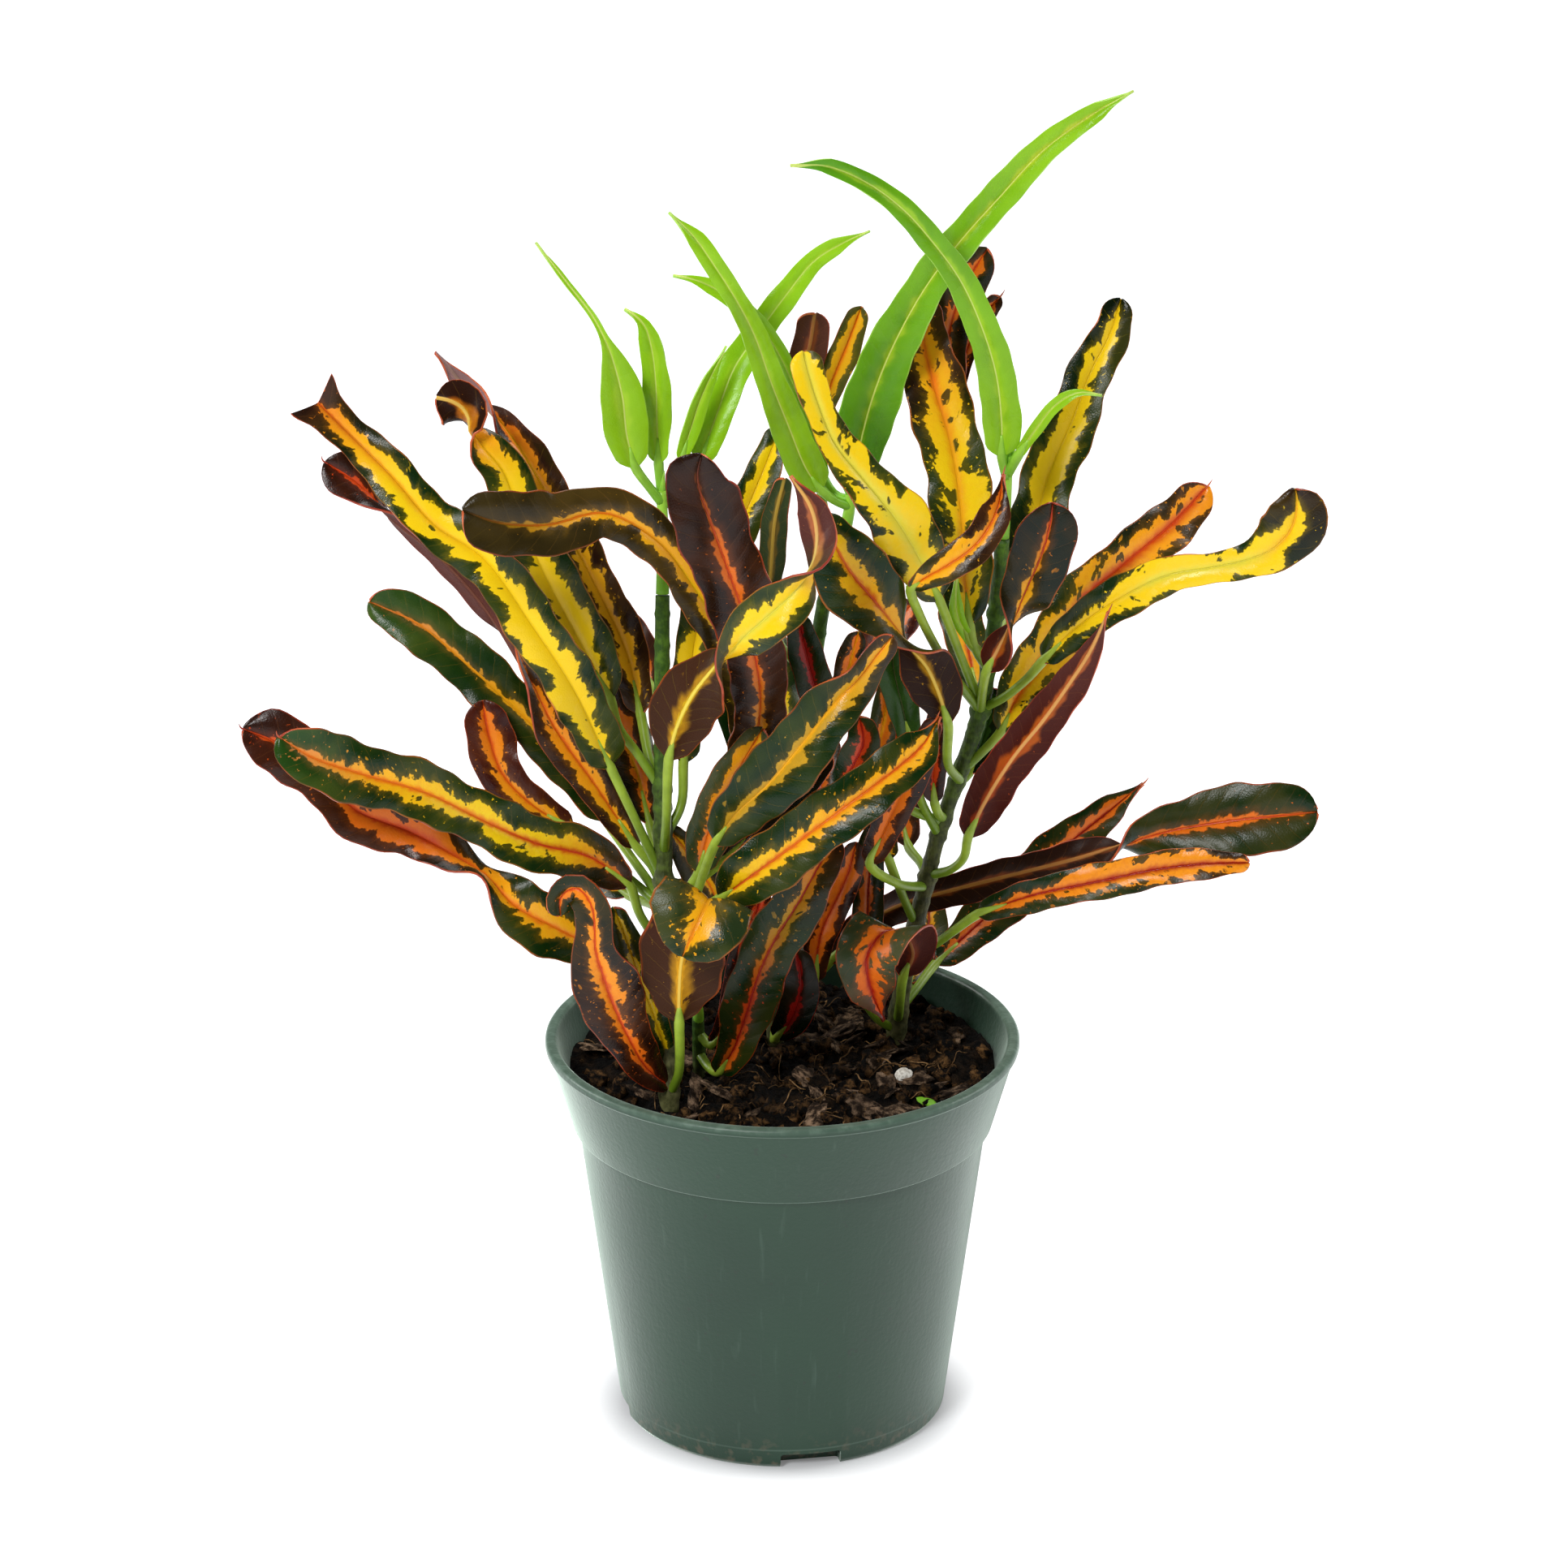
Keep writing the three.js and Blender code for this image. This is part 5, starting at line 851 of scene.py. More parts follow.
def blade(leaf, order, seed):
    """A leaf blade as a thin sheet, with a grooved midrib and waved edges."""
    name, _, rows, fold_degrees, wave = leaf
    way = Route([place(*row[:3]) for row in rows])
    widths = [row[3] for row in rows]
    fine = np.arange(0, way.length, 1.0)
    fine_sides = softened(way.carried(blade_sides(way, rows), way.share(fine)), reach=5)
    fine_widths = softened(way.carried(widths, way.share(fine)), reach=5)
    distance = blade_stations(way.length, widths[0], widths[-1])
    share = way.share(distance)
    along = way.heading(share)
    across = np.stack([np.interp(distance, fine, column) for column in fine_sides.T], axis=1)
    across = unit(across - along * np.sum(along * across, axis=1, keepdims=True))
    normal = np.cross(along, across)
    forked = name == FORKED_LEAF
    half = 0.5 * np.interp(distance, fine, fine_widths) * outline_factor(
        distance, way.length, widths[0], widths[-1], forked)
    fold = math.radians(fold_degrees)
    s = COLUMNS[None, :]
    reach_out = np.abs(s)
    height = half[:, None] * math.sin(fold) * reach_out**1.15
    height = height + 0.1 * half[:, None] * np.sin(np.pi * reach_out)
    height = height + wave * (swing(distance, order, *WAVE) * reach_out**1.4
                              + 0.28 * swing(distance, order, *RIPPLE) * reach_out**3)
    height = height - MIDRIB_DEPTH * np.exp(-((s * half[:, None] / MIDRIB_WIDTH) ** 2))
    spare = 0.014 + 0.056 * min(1, wave)
    reach_half = half[:, None] * (1 + reach_out * spare * (
        swing(distance, order, *SWAY) + 0.55 * swing(distance, order, *QUIVER)))
    points = (way.at(share)[:, None, :]
              + (reach_half * math.cos(fold) * s)[:, :, None] * across[:, None, :]
              + height[:, :, None] * normal[:, None, :])
    if forked:
        near_tip = np.clip((distance - way.length + FORK_LENGTH) / FORK_LENGTH, 0, 1)
        pulled = FORK_DEPTH * near_tip[:, None] ** 2 * (1 - reach_out)
        points = points - pulled[:, :, None] * along[:, None, :]
    made, row, column = sheet(f"{name}_leaf", points)
    spread = COLUMNS[column]
    travelled = distance[row]
    lie = [spread * half[row], travelled, np.full(len(row), 37.0 * seed)]
    carry(made, "lie", np.stack(lie, axis=1))
    part = [np.abs(spread), travelled / way.length, np.sign(spread)]
    carry(made, "part", np.stack(part, axis=1))
    carry_paint(made, name, spread, travelled, way.length, seed)
    return made


def stalk(leaf, name):
    """The stalk of a leaf, run on a little way under the blade's midrib."""
    _, stalk_points, rows = leaf[:3]
    base, following = place(*rows[0][:3]), place(*rows[1][:3])
    part = min(0.6, 2 * STALK_INSET / np.linalg.norm(following - base))
    points = [place(*point) for point in stalk_points]
    points += [base, base * (1 - part) + following * part]
    radius = min(STALK_RADIUS, 0.5 * rows[1][3])
    radii = [radius] * (len(points) - 1) + [0.35 * radius]
    if len(points) > 3:
        radii[1:-2] = [0.88 * radius] * (len(points) - 3)
    return tube(name, points, radii, sides=10, step=1.6)


class Finish:
    """A material and the steps that build it."""

    def __init__(self, name, **sockets):
        self.material = bpy.data.materials.new(name)
        self.material.use_nodes = True
        self.tree = self.material.node_tree
        self.shader = self.tree.nodes["Principled BSDF"]
        for socket, value in sockets.items():
            self.shader.inputs[socket.replace("_", " ")].default_value = value

    def step(self, kind, values=(), out=0, **settings):
        """A node with its inputs filled or linked; returns one of its outputs."""
        node = self.tree.nodes.new(kind)
        for name, value in settings.items():
            setattr(node, name, value)
        for key, value in dict(values).items():
            socket = node.inputs[key]
            if isinstance(value, bpy.types.NodeSocket):
                self.tree.links.new(value, socket)
            else:
                socket.default_value = value
        return node.outputs[out]

    def math(self, operation, *values):
        return self.step("ShaderNodeMath", enumerate(values), operation=operation)

    def plus(self, first, second):
        return self.math("ADD", first, second)

    def less(self, first, second):
        return self.math("SUBTRACT", first, second)

    def times(self, first, second):
        return self.math("MULTIPLY", first, second)

    def size(self, value):
        """The value without its sign."""
        return self.math("ABSOLUTE", value)

    def mix(self, factor, first, second):
        return self.step("ShaderNodeMix", {0: factor, 6: first, 7: second}, out=2,
                         data_type="RGBA", blend_type="MIX", clamp_factor=True)

    def fade(self, value, start, end, low=0.0, high=1.0):
        """A smooth change from low at start to high at end."""
        return self.step("ShaderNodeMapRange", {0: value, 1: start, 2: end, 3: low, 4: high},
                         interpolation_type="SMOOTHSTEP")

    def noise(self, vector, scale, detail=2.0, rough=0.5):
        return self.step("ShaderNodeTexNoise", {"Vector": vector, "Scale": scale,
                                                "Detail": detail, "Roughness": rough})

    def join(self, x, y, z):
        return self.step("ShaderNodeCombineXYZ", {0: x, 1: y, 2: z})

    def split(self, vector):
        node = self.tree.nodes.new("ShaderNodeSeparateXYZ")
        self.tree.links.new(vector, node.inputs[0])
        return tuple(node.outputs)

    def read(self, name, out="Vector"):
        """What the mesh carries under this name."""
        return self.step("ShaderNodeAttribute", out=out, attribute_name=name)

    def place(self):
        """The place on the piece, in metres."""
        return self.step("ShaderNodeTexCoord", out="Object")

    def drawn_out(self, share):
        """The place on the piece, with its height cut to a share, which stretches marks upward."""
        return self.step("ShaderNodeMapping", {"Vector": self.place(), "Scale": (1.0, 1.0, share)})

    def bump(self, height, distance, strength):
        made = self.step("ShaderNodeBump", {"Height": height, "Distance": distance,
                                            "Strength": strength})
        self.use("Normal", made)

    def use(self, socket, value):
        self.tree.links.new(value, self.shader.inputs[socket])


def leaf_face(name, roughness, under=False, fresh=False):
    """Leaf skin: a ragged, flecked band along the midrib, side veins and a coloured edge."""
    f = Finish(name, Specular_IOR_Level=0.1 if under else 0.24)
    lie = f.read("lie")
    x, y, z = f.split(lie)
    s, _, side = f.split(f.read("part"))
    share, flecked, under_band = f.split(f.read("pattern"))
    share = f.times(share, 0.7 if under else 1.0)
    body, band = f.read("body_tint", "Color"), f.read("band_tint", "Color")
    heart, under_tint = f.read("heart_tint", "Color"), f.read("under_tint", "Color")
    out = f.size(x)
    vein = f.less(y, f.times(out, 0.8))
    sided = f.plus(f.times(side, 4.3), z)
    lobes = f.noise(f.join(sided, f.times(vein, 0.11), 0.0), 1.0, 1.0)
    teeth = f.noise(f.join(f.times(out, 0.3), f.times(vein, 0.5), sided), 1.0)
    grain = f.noise(lie, 0.85, 2.5, 0.6)
    cells = f.noise(lie, 2.6)

    # The ragged border of the band
    bays = f.noise(f.join(sided, f.times(vein, 0.24), 7.0), 1.0, 1.0)
    border = f.times(share, f.plus(-0.2, f.times(lobes, 2.4)))
    border = f.plus(border, f.times(f.less(bays, 0.5), 0.5))
    torn = f.fade(lobes, 0.4, 0.6, 0.75, 0.15)
    ragged = f.plus(f.times(f.less(teeth, 0.5), torn), f.times(f.less(grain, 0.5), 0.35))
    most = 0.18 if under or fresh else 1.0
    border = f.plus(border, f.times(ragged, f.fade(share, 0.0, 0.35, 0.1, most)))
    soft = 0.12 if under or fresh else 0.035
    mask = f.fade(s, f.less(border, soft), f.plus(border, soft), 1.0, 0.0)

    # Dark patches in the band, and specks and blots of it outside
    if not fresh:
        patches = f.noise(f.join(f.times(out, 0.26), f.times(vein, 0.24), sided), 1.0, 2.5)
        least = f.less(0.74, f.times(flecked, 0.17))
        dark = f.fade(patches, least, f.plus(least, 0.025))
        dark = f.times(dark, f.fade(out, 0.5, 1.1))
        least = f.less(0.72, f.times(flecked, 0.085))
        specks = f.fade(grain, least, f.plus(least, 0.025))
        blots = f.noise(f.join(x, f.times(vein, 0.8), z), 0.42)
        blots = f.fade(blots, f.plus(least, 0.02), f.plus(least, 0.07), 0.0, 0.7)
        specks = f.math("MAXIMUM", specks, blots)
        specks = f.times(specks, f.fade(s, border, f.plus(border, 0.7), 1.0, 0.35))
        mask = f.math("MAXIMUM", f.times(mask, f.less(1.0, dark)), specks)

    # The skin round the band
    wash = f.noise(lie, 0.09)
    shaded = f.mix(0.1 if fresh else 0.35, body, colour(0, 0, 0))
    skin = f.mix(f.fade(wash, 0.35, 0.65), shaded, f.mix(0.03, body, band))
    skin = f.mix(f.fade(s, border, f.plus(border, 0.3), 0.08, 0.0), skin, band)
    if under:
        dim = f.mix(0.5, under_tint, colour(20, 12, 10))
        skin = f.mix(f.fade(cells, 0.3, 0.7, 0.0, 0.25), under_tint, dim)
        band = f.mix(0.48, band, under_tint)
        mask = f.times(mask, under_band)
    if fresh:
        mask = f.times(mask, 0.45)
    core = f.fade(f.plus(s, f.times(f.less(teeth, 0.5), 0.25)), 0.0, f.times(share, 0.55), 1.0, 0.0)
    band = f.mix(f.fade(grain, 0.4, 0.7, 0.0, 0.3), band, f.mix(0.5, band, heart))
    painted = f.mix(mask, skin, f.mix(core, band, heart))

    # Side veins, midrib and edge
    lines = f.math("FRACT", f.plus(f.times(vein, 0.235), f.times(grain, 0.16)))
    lines = f.fade(f.size(f.less(lines, 0.5)), 0.46, 0.5)
    lines = f.times(lines, f.fade(s, 0.98, 0.8))
    painted = f.mix(f.times(lines, 0.07), painted, f.mix(0.5, heart, colour(150, 140, 60)))
    rib = f.fade(out, 0.16, 0.42, 1.0, 0.0)
    rib_tone = f.mix(0.12, heart, colour(90, 40, 10))
    if under or fresh:
        rib_tone = f.mix(0.75 if fresh else 0.4, heart, colour(222, 232, 136))
    plain = 0.85 if fresh else (under_band if under else 0.5)
    painted = f.mix(f.times(rib, plain), painted, rib_tone)
    rim_tone = colour(160, 206, 76) if fresh else f.mix(0.2, colour(150, 42, 24), band)
    rim = f.times(f.fade(s, 0.94, 0.985), f.fade(lobes, 0.35, 0.6, 0.2, 0.75))
    f.use("Base Color", f.mix(rim, painted, rim_tone))
    f.use("Roughness", f.fade(wash, 0.2, 0.8, roughness - 0.06, roughness + 0.08))
    pillow = f.size(f.math("SINE", f.times(vein, 0.738)))
    height = f.times(pillow, f.fade(s, 0.0, 0.5, 0.0, 0.25))
    height = f.plus(height, f.times(cells, 0.3))
    height = f.plus(height, f.times(rib, 0.6 if under or fresh else -0.5))
    f.bump(height, 0.00025, 0.8)
    return f.material


def cut_edge(name, dark, light, mottled=False):
    """The thin cut edge of a leaf."""
    f = Finish(name, Roughness=0.4)
    where = f.noise(f.place(), 140.0)
    f.use("Base Color", f.mix(f.fade(where, 0.35, 0.65) if mottled else where, dark, light))
    f.bump(where, 0.0001, 0.4)
    return f.material


def stalk_skin(name, root, top):
    """Leaf stalk: green where it leaves the stem, paler toward the blade."""
    f = Finish(name, Roughness=0.38, Specular_IOR_Level=0.35)
    run = f.read("run", "Fac")
    mottle = f.noise(f.place(), 320.0, 3.0)
    tone = f.mix(f.fade(run, 0.0, 0.8), root, top)
    spotted = f.mix(0.5, root, colour(70, 84, 30))
    f.use("Base Color", f.mix(f.fade(mottle, 0.35, 0.75, 0.0, 0.35), tone, spotted))
    f.bump(f.noise(f.place(), 900.0), 0.0002, 0.4)
    return f.material


def bark():
    """Young stem: grey-brown and mottled low down, fresh green toward its top."""
    f = Finish("stem_bark", Specular_IOR_Level=0.25)
    run = f.read("run", "Fac")
    mottle = f.noise(f.place(), 420.0, 4.0, 0.6)
    streak = f.noise(f.drawn_out(0.18), 900.0, 3.0)
    low = f.mix(f.fade(mottle, 0.35, 0.65), colour(54, 56, 28), colour(92, 92, 54))
    high = f.mix(f.fade(mottle, 0.4, 0.7), colour(46, 78, 14), colour(78, 114, 26))
    tone = f.mix(f.fade(f.plus(run, f.times(mottle, 0.25)), 0.45, 0.95), low, high)
    f.use("Base Color", f.mix(f.fade(streak, 0.6, 0.75, 0.0, 0.5), tone, colour(34, 28, 18)))
    f.use("Roughness", f.fade(mottle, 0.2, 0.8, 0.45, 0.7))
    f.bump(f.plus(mottle, streak), 0.0005, 0.7)
    return f.material


def pot_plastic():
    """Moulded grey-green plastic: paler along the rim's top, partly wear and partly a painted
    highlight; a painted highlight along the band's step; dusty near the foot.
    """
    f = Finish("pot_plastic", Specular_IOR_Level=0.42, Sheen_Weight=0.95, Sheen_Roughness=0.3,
               Sheen_Tint=(0.82, 1.0, 0.87, 1.0))
    _, _, z = f.split(f.place())
    cloud = f.noise(f.place(), 22.0, 3.0)
    grain = f.noise(f.place(), 900.0)
    specks = f.noise(f.place(), 420.0)
    scratches = f.noise(f.drawn_out(0.04), 520.0, 3.0)
    tone = f.mix(f.fade(cloud, 0.3, 0.7), colour(24, 53, 37), colour(29, 60, 42))
    tone = f.mix(f.fade(scratches, 0.6, 0.85, 0.0, 0.12), tone, colour(110, 134, 120))
    tone = f.mix(f.fade(specks, 0.69, 0.73, 0.0, 0.45), tone, colour(36, 44, 38))
    # Partly wear, partly painted highlight: the rim's top edge is made paler, broken up by the
    # specks.
    rim_wear_and_highlight = f.times(f.fade(z, 0.0972, 0.0988), f.fade(specks, 0.4, 0.7, 0.28, 0.5))
    tone = f.mix(rim_wear_and_highlight, tone, colour(126, 150, 134))
    # Painted highlight: a pale line along the band's step. The foot ring is a faint pale line.
    step_highlight = f.fade(f.size(f.less(z, 0.0768)), 0.0004, 0.0, 0.0, 0.8)
    foot_line = f.fade(f.size(f.less(z, 0.0052)), 0.0004, 0.0, 0.0, 0.15)
    lines = f.times(f.math("MAXIMUM", step_highlight, foot_line), f.fade(cloud, 0.3, 0.6, 0.5, 1.0))
    tone = f.mix(lines, tone, colour(140, 164, 150))
    dusty = f.times(f.fade(z, 0.012, 0.0, 0.0, 0.5), f.fade(specks, 0.5, 0.68))
    f.use("Base Color", f.mix(dusty, tone, colour(104, 92, 74)))
    f.use("Roughness", f.fade(f.plus(cloud, f.times(grain, 0.3)), 0.3, 0.9, 0.3, 0.44))
    f.bump(f.plus(grain, f.times(scratches, 0.5)), 0.00012, 0.5)
    return f.material


def earth(name, dark, light, scale, depth):
    """Potting mix, bark and fibre, with painted shade darkening the hollows and the gaps between
    crumbs.
    """
    f = Finish(name, Specular_IOR_Level=0.08)
    lumps = f.noise(f.place(), scale, 5.0, 0.65)
    crumbs = f.noise(f.place(), scale * 5, 3.0, 0.6)
    tone = f.mix(f.fade(lumps, 0.42, 0.66), dark, light)
    # Painted shade: darker zones and specks stand for the shade in the hollows and between crumbs.
    painted_shade = f.mix(0.5, dark, colour(0, 0, 0))
    tone = f.mix(f.fade(f.noise(f.place(), 75.0), 0.36, 0.6, 0.75, 0.0), tone, painted_shade)
    f.use("Base Color", f.mix(f.fade(crumbs, 0.5, 0.75, 0.0, 0.7), tone, painted_shade))
    f.use("Roughness", f.fade(crumbs, 0.3, 0.7, 0.65, 0.95))
    f.bump(f.plus(lumps, f.times(crumbs, 0.5)), depth, 0.9)
    return f.material


def perlite():
    """A white foamed grain."""
    f = Finish("perlite", Roughness=0.8)
    pores = f.noise(f.place(), 1300.0, 3.0)
    tone = f.mix(f.fade(pores, 0.35, 0.7), colour(178, 172, 160), colour(232, 229, 220))
    f.use("Base Color", tone)
    f.bump(pores, 0.0001, 0.5)
    return f.material


def studio_floor():
    """A plain pale floor that glows evenly, with a painted contact shadow where its glow is dimmed
    near the pot's foot.
    """
    f = Finish("studio_floor", Roughness=0.9, Specular_IOR_Level=0.1)
    cloud = f.noise(f.place(), 1.5)
    f.use("Base Color", f.mix(cloud, colour(178, 180, 183), colour(182, 184, 187)))
    f.shader.inputs["Emission Color"].default_value = (1, 1, 1, 1)
    away = f.step("ShaderNodeVectorMath", {0: f.place()}, out="Value", operation="LENGTH")
    # Painted contact shadow: the floor's glow is dimmed close to the pot's foot.
    f.use("Emission Strength", f.fade(away, 0.036, 0.052, 0.15, 0.8))
    return f.material


def held(piece, slot, *nodes):
    """The piece rides with the plant and stands for these nodes; the slot is not used."""
    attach(piece, "root")
    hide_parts(*nodes)
    return piece


def coated(piece, *finishes):
    """The piece takes these finishes, in this order."""
    for finish in finishes:
        piece.data.materials.append(finish)
    return piece


def cut_notch(shell, degrees):
    """A drainage notch cut in the pot's foot."""
    turn = math.radians(degrees)
    deselect()
    bpy.ops.mesh.primitive_cube_add(
        size=1, rotation=(0, 0, turn),
        location=(BASE_RADIUS * MM * math.cos(turn), BASE_RADIUS * MM * math.sin(turn), 0),
        scale=(10 * MM, NOTCH_WIDTH * MM, 2 * NOTCH_HEIGHT * MM))
    cutter = bpy.context.object
    finished(cutter, "BEVEL", width=0.8 * MM, segments=3)
    finished(shell, "BOOLEAN", operation="DIFFERENCE", object=cutter, solver="EXACT")
    bpy.data.objects.remove(cutter)


def pot_shell():
    """The pot: its outline spun round, with notches cut in the foot and its edges eased."""
    deselect()
    bpy.ops.mesh.primitive_plane_add(size=MM)
    shell = bpy.context.object
    shell.name = shell.data.name = "pot_shell"
    bpy.ops.object.mode_set(mode="EDIT")
    bpy.ops.mesh.select_all(action="SELECT")
    bpy.ops.mesh.merge(type="CENTER")
    for (r0, z0), (r1, z1) in zip(POT_OUTLINE, POT_OUTLINE[1:]):
        move = ((r1 - r0) * MM, 0, (z1 - z0) * MM)
        bpy.ops.mesh.extrude_region_move(TRANSFORM_OT_translate={"value": move})
    bpy.ops.mesh.select_all(action="SELECT")
    bpy.ops.mesh.spin(steps=160, angle=2 * math.pi, center=(0, 0, 0), axis=(0, 0, 1))
    bpy.ops.mesh.select_all(action="SELECT")
    bpy.ops.mesh.remove_doubles(threshold=1e-6)
    bpy.ops.mesh.normals_make_consistent(inside=False)
    bpy.ops.object.mode_set(mode="OBJECT")
    finished(shell, "BEVEL", width=0.3 * MM, segments=2, limit_method="ANGLE",
             angle_limit=math.radians(25))
    for degrees in NOTCH_ANGLES:
        cut_notch(shell, degrees)
    chosen(shell)
    bpy.ops.object.shade_smooth_by_angle(angle=math.radians(30))
    return held(coated(shell, pot_plastic()), "pot_plastic", "pot")


def soil_height(x, y):
    """The loose surface of the soil, in millimetres."""
    lumps = math.sin(0.31 * x + 0.7) * math.cos(0.27 * y)
    lumps += 0.6 * math.sin(0.16 * x - 0.42 * y + 1.3) + 0.4 * math.cos(0.55 * x + 0.35 * y)
    at = Vector((x, y, 3.7))
    rough = 2.0 * noise.noise(at / 8) + 1.6 * noise.noise(at / 3.7) + 0.9 * noise.noise(at / 1.8)
    return SOIL_LEVEL + 0.55 * lumps + rough


def soil_bed():
    """The soil: a rough bed in the pot with a skirt down inside the wall."""
    angles = -np.linspace(0, 2 * np.pi, 241)
    circle = np.stack([np.cos(angles), np.sin(angles)], axis=1)
    rings = SOIL_SKIRT + [(radius, None) for radius in np.linspace(SOIL_EDGE_RADIUS, 0.01, 92)]
    points = np.array([
        [(*(radius * c), soil_height(*(radius * c)) if height is None else height) for c in circle]
        for radius, height in rings
    ])
    bed, _, _ = sheet("soil_bed", points)
    peat = earth("potting_soil", colour(4, 3, 2), colour(36, 25, 14), scale=240.0, depth=0.0018)
    return held(coated(closed(bed, 2e-5), peat), "potting_soil", "soil")


def lump(name, subdivisions, size, roughness, seed):
    """A rough grain: a ball pushed in and out."""
    deselect()
    bpy.ops.mesh.primitive_ico_sphere_add(subdivisions=subdivisions, radius=1)
    made = bpy.context.object
    made.name = made.data.name = name
    for vertex in made.data.vertices:
        push = 1 + roughness * noise.noise(1.4 * vertex.co + Vector((seed, 0, 0)))
        vertex.co = Vector([c * s * MM * push for c, s in zip(vertex.co, size)])
    return made


def settled(piece):
    """The piece's place and turn become part of its mesh."""
    chosen(piece)
    bpy.ops.object.transform_apply(location=True, rotation=True, scale=True)
    bpy.ops.object.shade_smooth()
    return piece


def scattered(name, models, count, seed, sizes, sink, where, tilt):
    """Copies of a few models laid over the soil and joined."""
    draw = random.Random(seed)
    copies = []
    for _ in range(count):
        x, y = where(draw)
        copy = draw.choice(models).copy()
        copy.data = copy.data.copy()
        bpy.context.collection.objects.link(copy)
        size = draw.uniform(*sizes)
        roll, pitch, spin = draw.gauss(0, tilt), draw.gauss(0, tilt), draw.uniform(0, 6.28)
        spot = (x * MM, y * MM, (soil_height(x, y) + sink * size) * MM)
        copy.matrix_world = (Matrix.Translation(spot) @ Matrix.Rotation(spin, 4, "Z")
                             @ Matrix.Rotation(roll, 4, "X") @ Matrix.Rotation(pitch, 4, "Y")
                             @ Matrix.Scale(size, 4))
        copies.append(copy)
    whole = settled(joined(copies, name))
    for model in models:
        bpy.data.objects.remove(model)
    return whole


def laid(piece, x, y, lift, turn=(0, 0, 0)):
    """A single piece set down on the soil."""
    piece.location = Vector((x, y, soil_height(x, y) + lift)) * MM
    piece.rotation_euler = turn
    return settled(piece)


def anywhere(draw, most=SOIL_EDGE_RADIUS - 2.5):
    """A random place on the soil."""
    radius, angle = most * math.sqrt(draw.random()), draw.uniform(0, 2 * math.pi)
    return radius * math.cos(angle), radius * math.sin(angle)


def to_the_right(draw):
    """A random place on the soil, more often to the right."""
    while True:
        x, y = anywhere(draw, SOIL_EDGE_RADIUS - 5)
        if draw.random() < 0.25 + 0.75 * (x > 5):
            return x, y


def soil_litter():
    """Crumbs, bark chips, a pale grain and a green scrap lying on the soil."""
    crumbs = [lump(f"crumb_{i}", 2, size=(1.2, 1.0, 0.8), roughness=0.9, seed=3.1 * i)
              for i in range(4)]
    crumbs = scattered("soil_crumbs", crumbs, count=420, seed=5, sizes=(0.4, 2.6), sink=0.1,
                       where=anywhere, tilt=0.8)
    peat = earth("peat_crumb", colour(5, 3, 2), colour(106, 76, 44), scale=420.0, depth=0.0009)
    held(coated(crumbs, peat), "potting_soil", "soil")
    chips = [lump(f"chip_{i}", 3, size=(3.4, 1.9, 0.5), roughness=0.8, seed=9.7 + 2.3 * i)
             for i in range(4)]
    chips = scattered("bark_chips", chips, count=54, seed=8, sizes=(0.7, 1.9), sink=0.5,
                      where=to_the_right, tilt=0.4)
    chip_bark = earth("bark_chip", colour(34, 24, 16), colour(146, 120, 96), scale=420.0,
                      depth=0.0006)
    held(coated(chips, chip_bark), "potting_soil", "soil")
    grain = lump("perlite_grain", 4, size=(2.4, 2.3, 2.1), roughness=0.1, seed=4.4)
    grain = laid(grain, 29.8, -12.5, lift=2.1)
    held(coated(grain, perlite()), "potting_soil", "soil")
    scrap = lump("green_scrap", 3, size=(2.6, 1.1, 0.5), roughness=0.6, seed=1.7)
    scrap = laid(scrap, 35.2, -25.9, lift=1.2, turn=(0.3, 0.2, -0.5))
    held(coated(scrap, new_stalk), "potting_soil", "soil")


def fibre(name, draw):
    """A loose fibre wandering over the soil, turned back where it meets the pot."""
    x, y = anywhere(draw, SOIL_EDGE_RADIUS - 8)
    angle, length = draw.uniform(0, 2 * math.pi), draw.uniform(3, 13)
    points = []
    for k in range(6):
        lift = 0.5 + draw.uniform(0, 1.6) * math.sin(math.pi * k / 5)
        points.append((x, y, soil_height(x, y) + lift))
        angle += draw.gauss(0, 0.4)
        x, y = x + length / 5 * math.cos(angle), y + length / 5 * math.sin(angle)
        if math.hypot(x, y) > SOIL_EDGE_RADIUS - 1.5:
            x, y = points[-1][0] * 0.97, points[-1][1] * 0.97
    width = draw.uniform(0.09, 0.2)
    return tube(name, points, [width] * 5 + [0.4 * width], sides=5, step=1.1)


def root_fibres():
    """Loose fibres lying over the soil."""
    draw = random.Random(21)
    whole = joined([fibre(f"fibre_{i}", draw) for i in range(120)], "root_fibres")
    straw = earth("root_fibre", colour(62, 44, 26), colour(168, 130, 86), scale=160.0,
                  depth=0.0002)
    held(coated(whole, straw), "potting_soil", "soil")


def stem_points(rows, root_depth):
    """The places along a stem, from its root if it has one."""
    points = [place(*row[:3]) for row in rows]
    if root_depth:
        points.insert(0, np.array([points[0][0], points[0][1], SOIL_LEVEL - root_depth]))
    return points


def stem(name, rows, root_depth, bumps, finish):
    """A stem with a swelling at each leaf scar."""
    radii = [row[3] / 2 for row in rows]
    if root_depth:
        radii.insert(0, radii[0])
    made = tube(name, stem_points(rows, root_depth), radii, sides=18, step=1.1, bumps=bumps)
    return coated(made, finish)


def scar_bumps(rows, root_depth, leaves):
    """Where the leaves leave a stem: distance along it, width and swelling."""
    way = Route(stem_points(rows, root_depth))
    line = way.at(way.shares)
    bumps = []
    for leaf in leaves:
        start = place(*leaf[1][0]) if leaf[1] else place(*leaf[2][0][:3])
        nearest = int(np.argmin(np.linalg.norm(line - start, axis=1)))
        bumps.append((way.reached[nearest], 1.3, 0.3))
    draw = random.Random(len(leaves))
    spot = 16.0
    while spot < way.length:
        bumps.append((spot, 0.7, 0.22))
        spot += draw.uniform(4, 8)
    return bumps


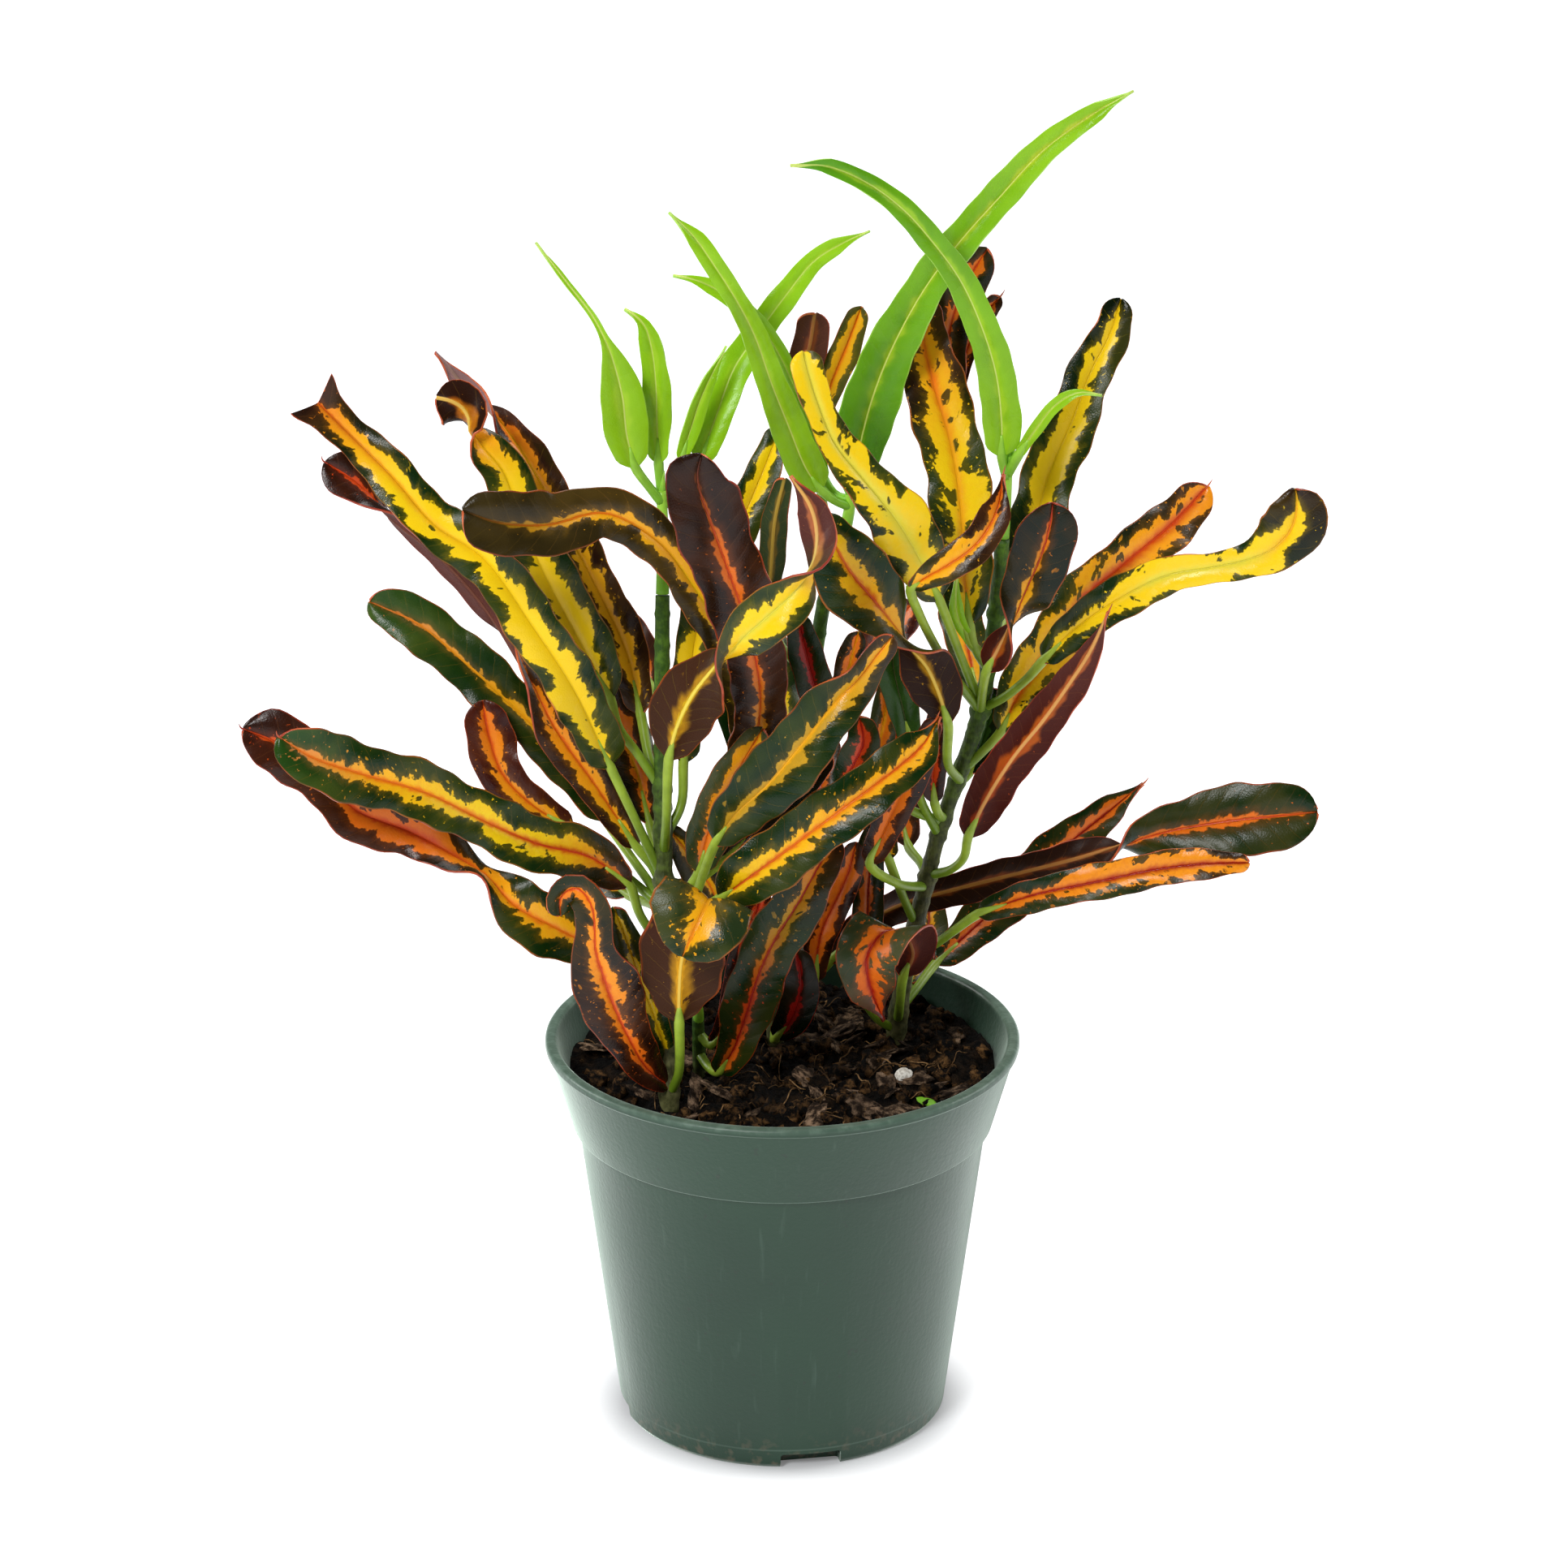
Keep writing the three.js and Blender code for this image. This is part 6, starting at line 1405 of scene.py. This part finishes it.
def awn(leaf, name):
    """The fine point that the midrib runs out to at a leaf's tip."""
    rows = leaf[2]
    before, tip = place(*rows[-2][:3]), place(*rows[-1][:3])
    ahead = unit(tip - before)
    aside = np.array([0.35, 0, 0.9])
    points = [tip - 0.8 * ahead, tip + 0.5 * ahead,
              tip + 1.1 * ahead + 0.4 * aside, tip + 1.4 * ahead + 0.9 * aside]
    return tube(name, points, [0.3, 0.22, 0.13, 0.05], sides=8, step=0.3)


def leaf_piece(leaf, order, seed, node, slot, faces, stalk_finish):
    """A whole leaf: blade, cut edge, stalk and point."""
    made = coated(blade(leaf, order, seed), *faces)
    finished(made, "SOLIDIFY", thickness=BLADE_THICKNESS * MM, offset=0,
             material_offset=1, material_offset_rim=2)
    name = leaf[0]
    ends = [coated(stalk(leaf, name + "_stalk"), stalk_finish)] if leaf[1] else []
    if name in AWNED:
        ends.append(coated(awn(leaf, name + "_awn"), faces[2]))
    for end in ends:
        joined([made, end], name + "_leaf")
    chosen(made)
    bpy.ops.object.shade_smooth()
    return held(made, slot, node)


def bud(name, rows, length, width, lean, slot, node):
    """A pointed bud of folded young leaves on the top of a stem."""
    foot = place(*rows[-1][:3]) - np.array([0, 0, 1.5])
    points = [foot + share * length * unit(np.array(lean)) for share in (0, 0.15, 0.4, 0.75, 1)]
    radii = [share * width for share in (0.45, 0.5, 0.42, 0.2, 0.05)]
    made = tube(name, points, radii, sides=12, step=0.6)
    return held(coated(made, new_stalk), slot, node)


coloured = [leaf_face("leaf_upper", 0.27), leaf_face("leaf_under", 0.42, under=True),
            cut_edge("leaf_edge", colour(150, 44, 24), colour(206, 98, 44), mottled=True)]
lime = [leaf_face("lime_upper", 0.27, fresh=True),
        leaf_face("lime_under", 0.42, under=True, fresh=True),
        cut_edge("fresh_edge", colour(140, 200, 60), colour(190, 225, 100))]
old_stalk = stalk_skin("leaf_stalk", colour(106, 138, 28), colour(156, 182, 56))
new_stalk = stalk_skin("fresh_stalk", colour(120, 184, 40), colour(154, 208, 64))
stem_bark = bark()

pot_shell()
soil_bed()
soil_litter()
root_fibres()
bud("front_bud", STEMS["front"], length=8, width=2.7, lean=(0.1, -0.25, 1), slot="foliage",
    node="front_leafy_stem")
seed = 0
for side, rows in STEMS.items():
    node = f"{side}_leafy_stem"
    bumps = () if side == "front" else scar_bumps(rows, ROOT_DEPTH, LEAVES[side])
    held(stem(f"{side}_stem", rows, ROOT_DEPTH, bumps, stem_bark), "foliage", node)
    for order, leaf in enumerate(LEAVES[side]):
        seed += 1
        faces = lime if leaf[0] == "sprout" else coloured
        leaf_piece(leaf, order, seed, node, "foliage", faces, old_stalk)
for side, rows in SHOOTS.items():
    node = f"{side}_fresh_shoot"
    held(stem(f"{side}_shoot", rows, 0, (), new_stalk), "fresh_foliage", node)
    for k, (length, width, lean) in enumerate(BUDS[side]):
        bud(f"{side}_bud_{k}", rows, length, width, lean, "fresh_foliage", node)
    for order, leaf in enumerate(LIME_LEAVES[side]):
        seed += 1
        leaf_piece(leaf, order, seed, node, "fresh_foliage", lime, new_stalk)

# Floor, light and camera
deselect()
bpy.ops.mesh.primitive_plane_add(size=12, location=(0, 2, 0))
floor = bpy.context.object
floor.name = "floor"
bpy.ops.object.transform_apply(location=True)
coated(floor, studio_floor())

world = bpy.data.worlds.new("studio")
world.use_nodes = True
world.node_tree.nodes["Background"].inputs["Color"].default_value = (1, 1, 1, 1)
world.node_tree.nodes["Background"].inputs["Strength"].default_value = 0.08
bpy.context.scene.world = world

LIGHT_TARGET = Vector((0, 0, 0.2))


def softbox(name, location, size, power):
    """A square soft light aimed at the plant."""
    light = bpy.data.lights.new(name, "AREA")
    light.size = size
    light.energy = power
    lamp = bpy.data.objects.new(name, light)
    lamp.location = location
    lamp.rotation_mode = "QUATERNION"
    lamp.rotation_quaternion = (LIGHT_TARGET - Vector(location)).to_track_quat("-Z", "Y")
    bpy.context.collection.objects.link(lamp)


softbox("key_light", (-0.8, -1.5, 1.5), size=0.55, power=33)
softbox("left_light", (-1.7, 0.6, 0.9), size=0.9, power=18)
softbox("right_light", (1.7, 0.5, 0.9), size=0.9, power=16)
softbox("top_light", (0.1, 0.6, 1.9), size=0.9, power=20)

rim_centre = Vector((0, 0, POT_HEIGHT * MM))
eye = rim_centre + Vector(TOWARD_EYE) * EYE_DISTANCE * MM
aim = Vector((AIM_ACROSS, AIM_UP * math.sin(EYE_LIFT), AIM_UP * math.cos(EYE_LIFT)))
aim = rim_centre + aim * MM
camera = bpy.data.objects.new("camera", bpy.data.cameras.new("camera"))
camera.data.sensor_width = 36
camera.data.lens = 139.75
camera.data.clip_start, camera.data.clip_end = 0.05, 50
camera.location = eye
camera.rotation_mode = "QUATERNION"
camera.rotation_quaternion = (aim - eye).to_track_quat("-Z", "Y")
bpy.context.collection.objects.link(camera)
bpy.context.scene.camera = camera
bpy.context.scene.view_settings.view_transform = "Standard"
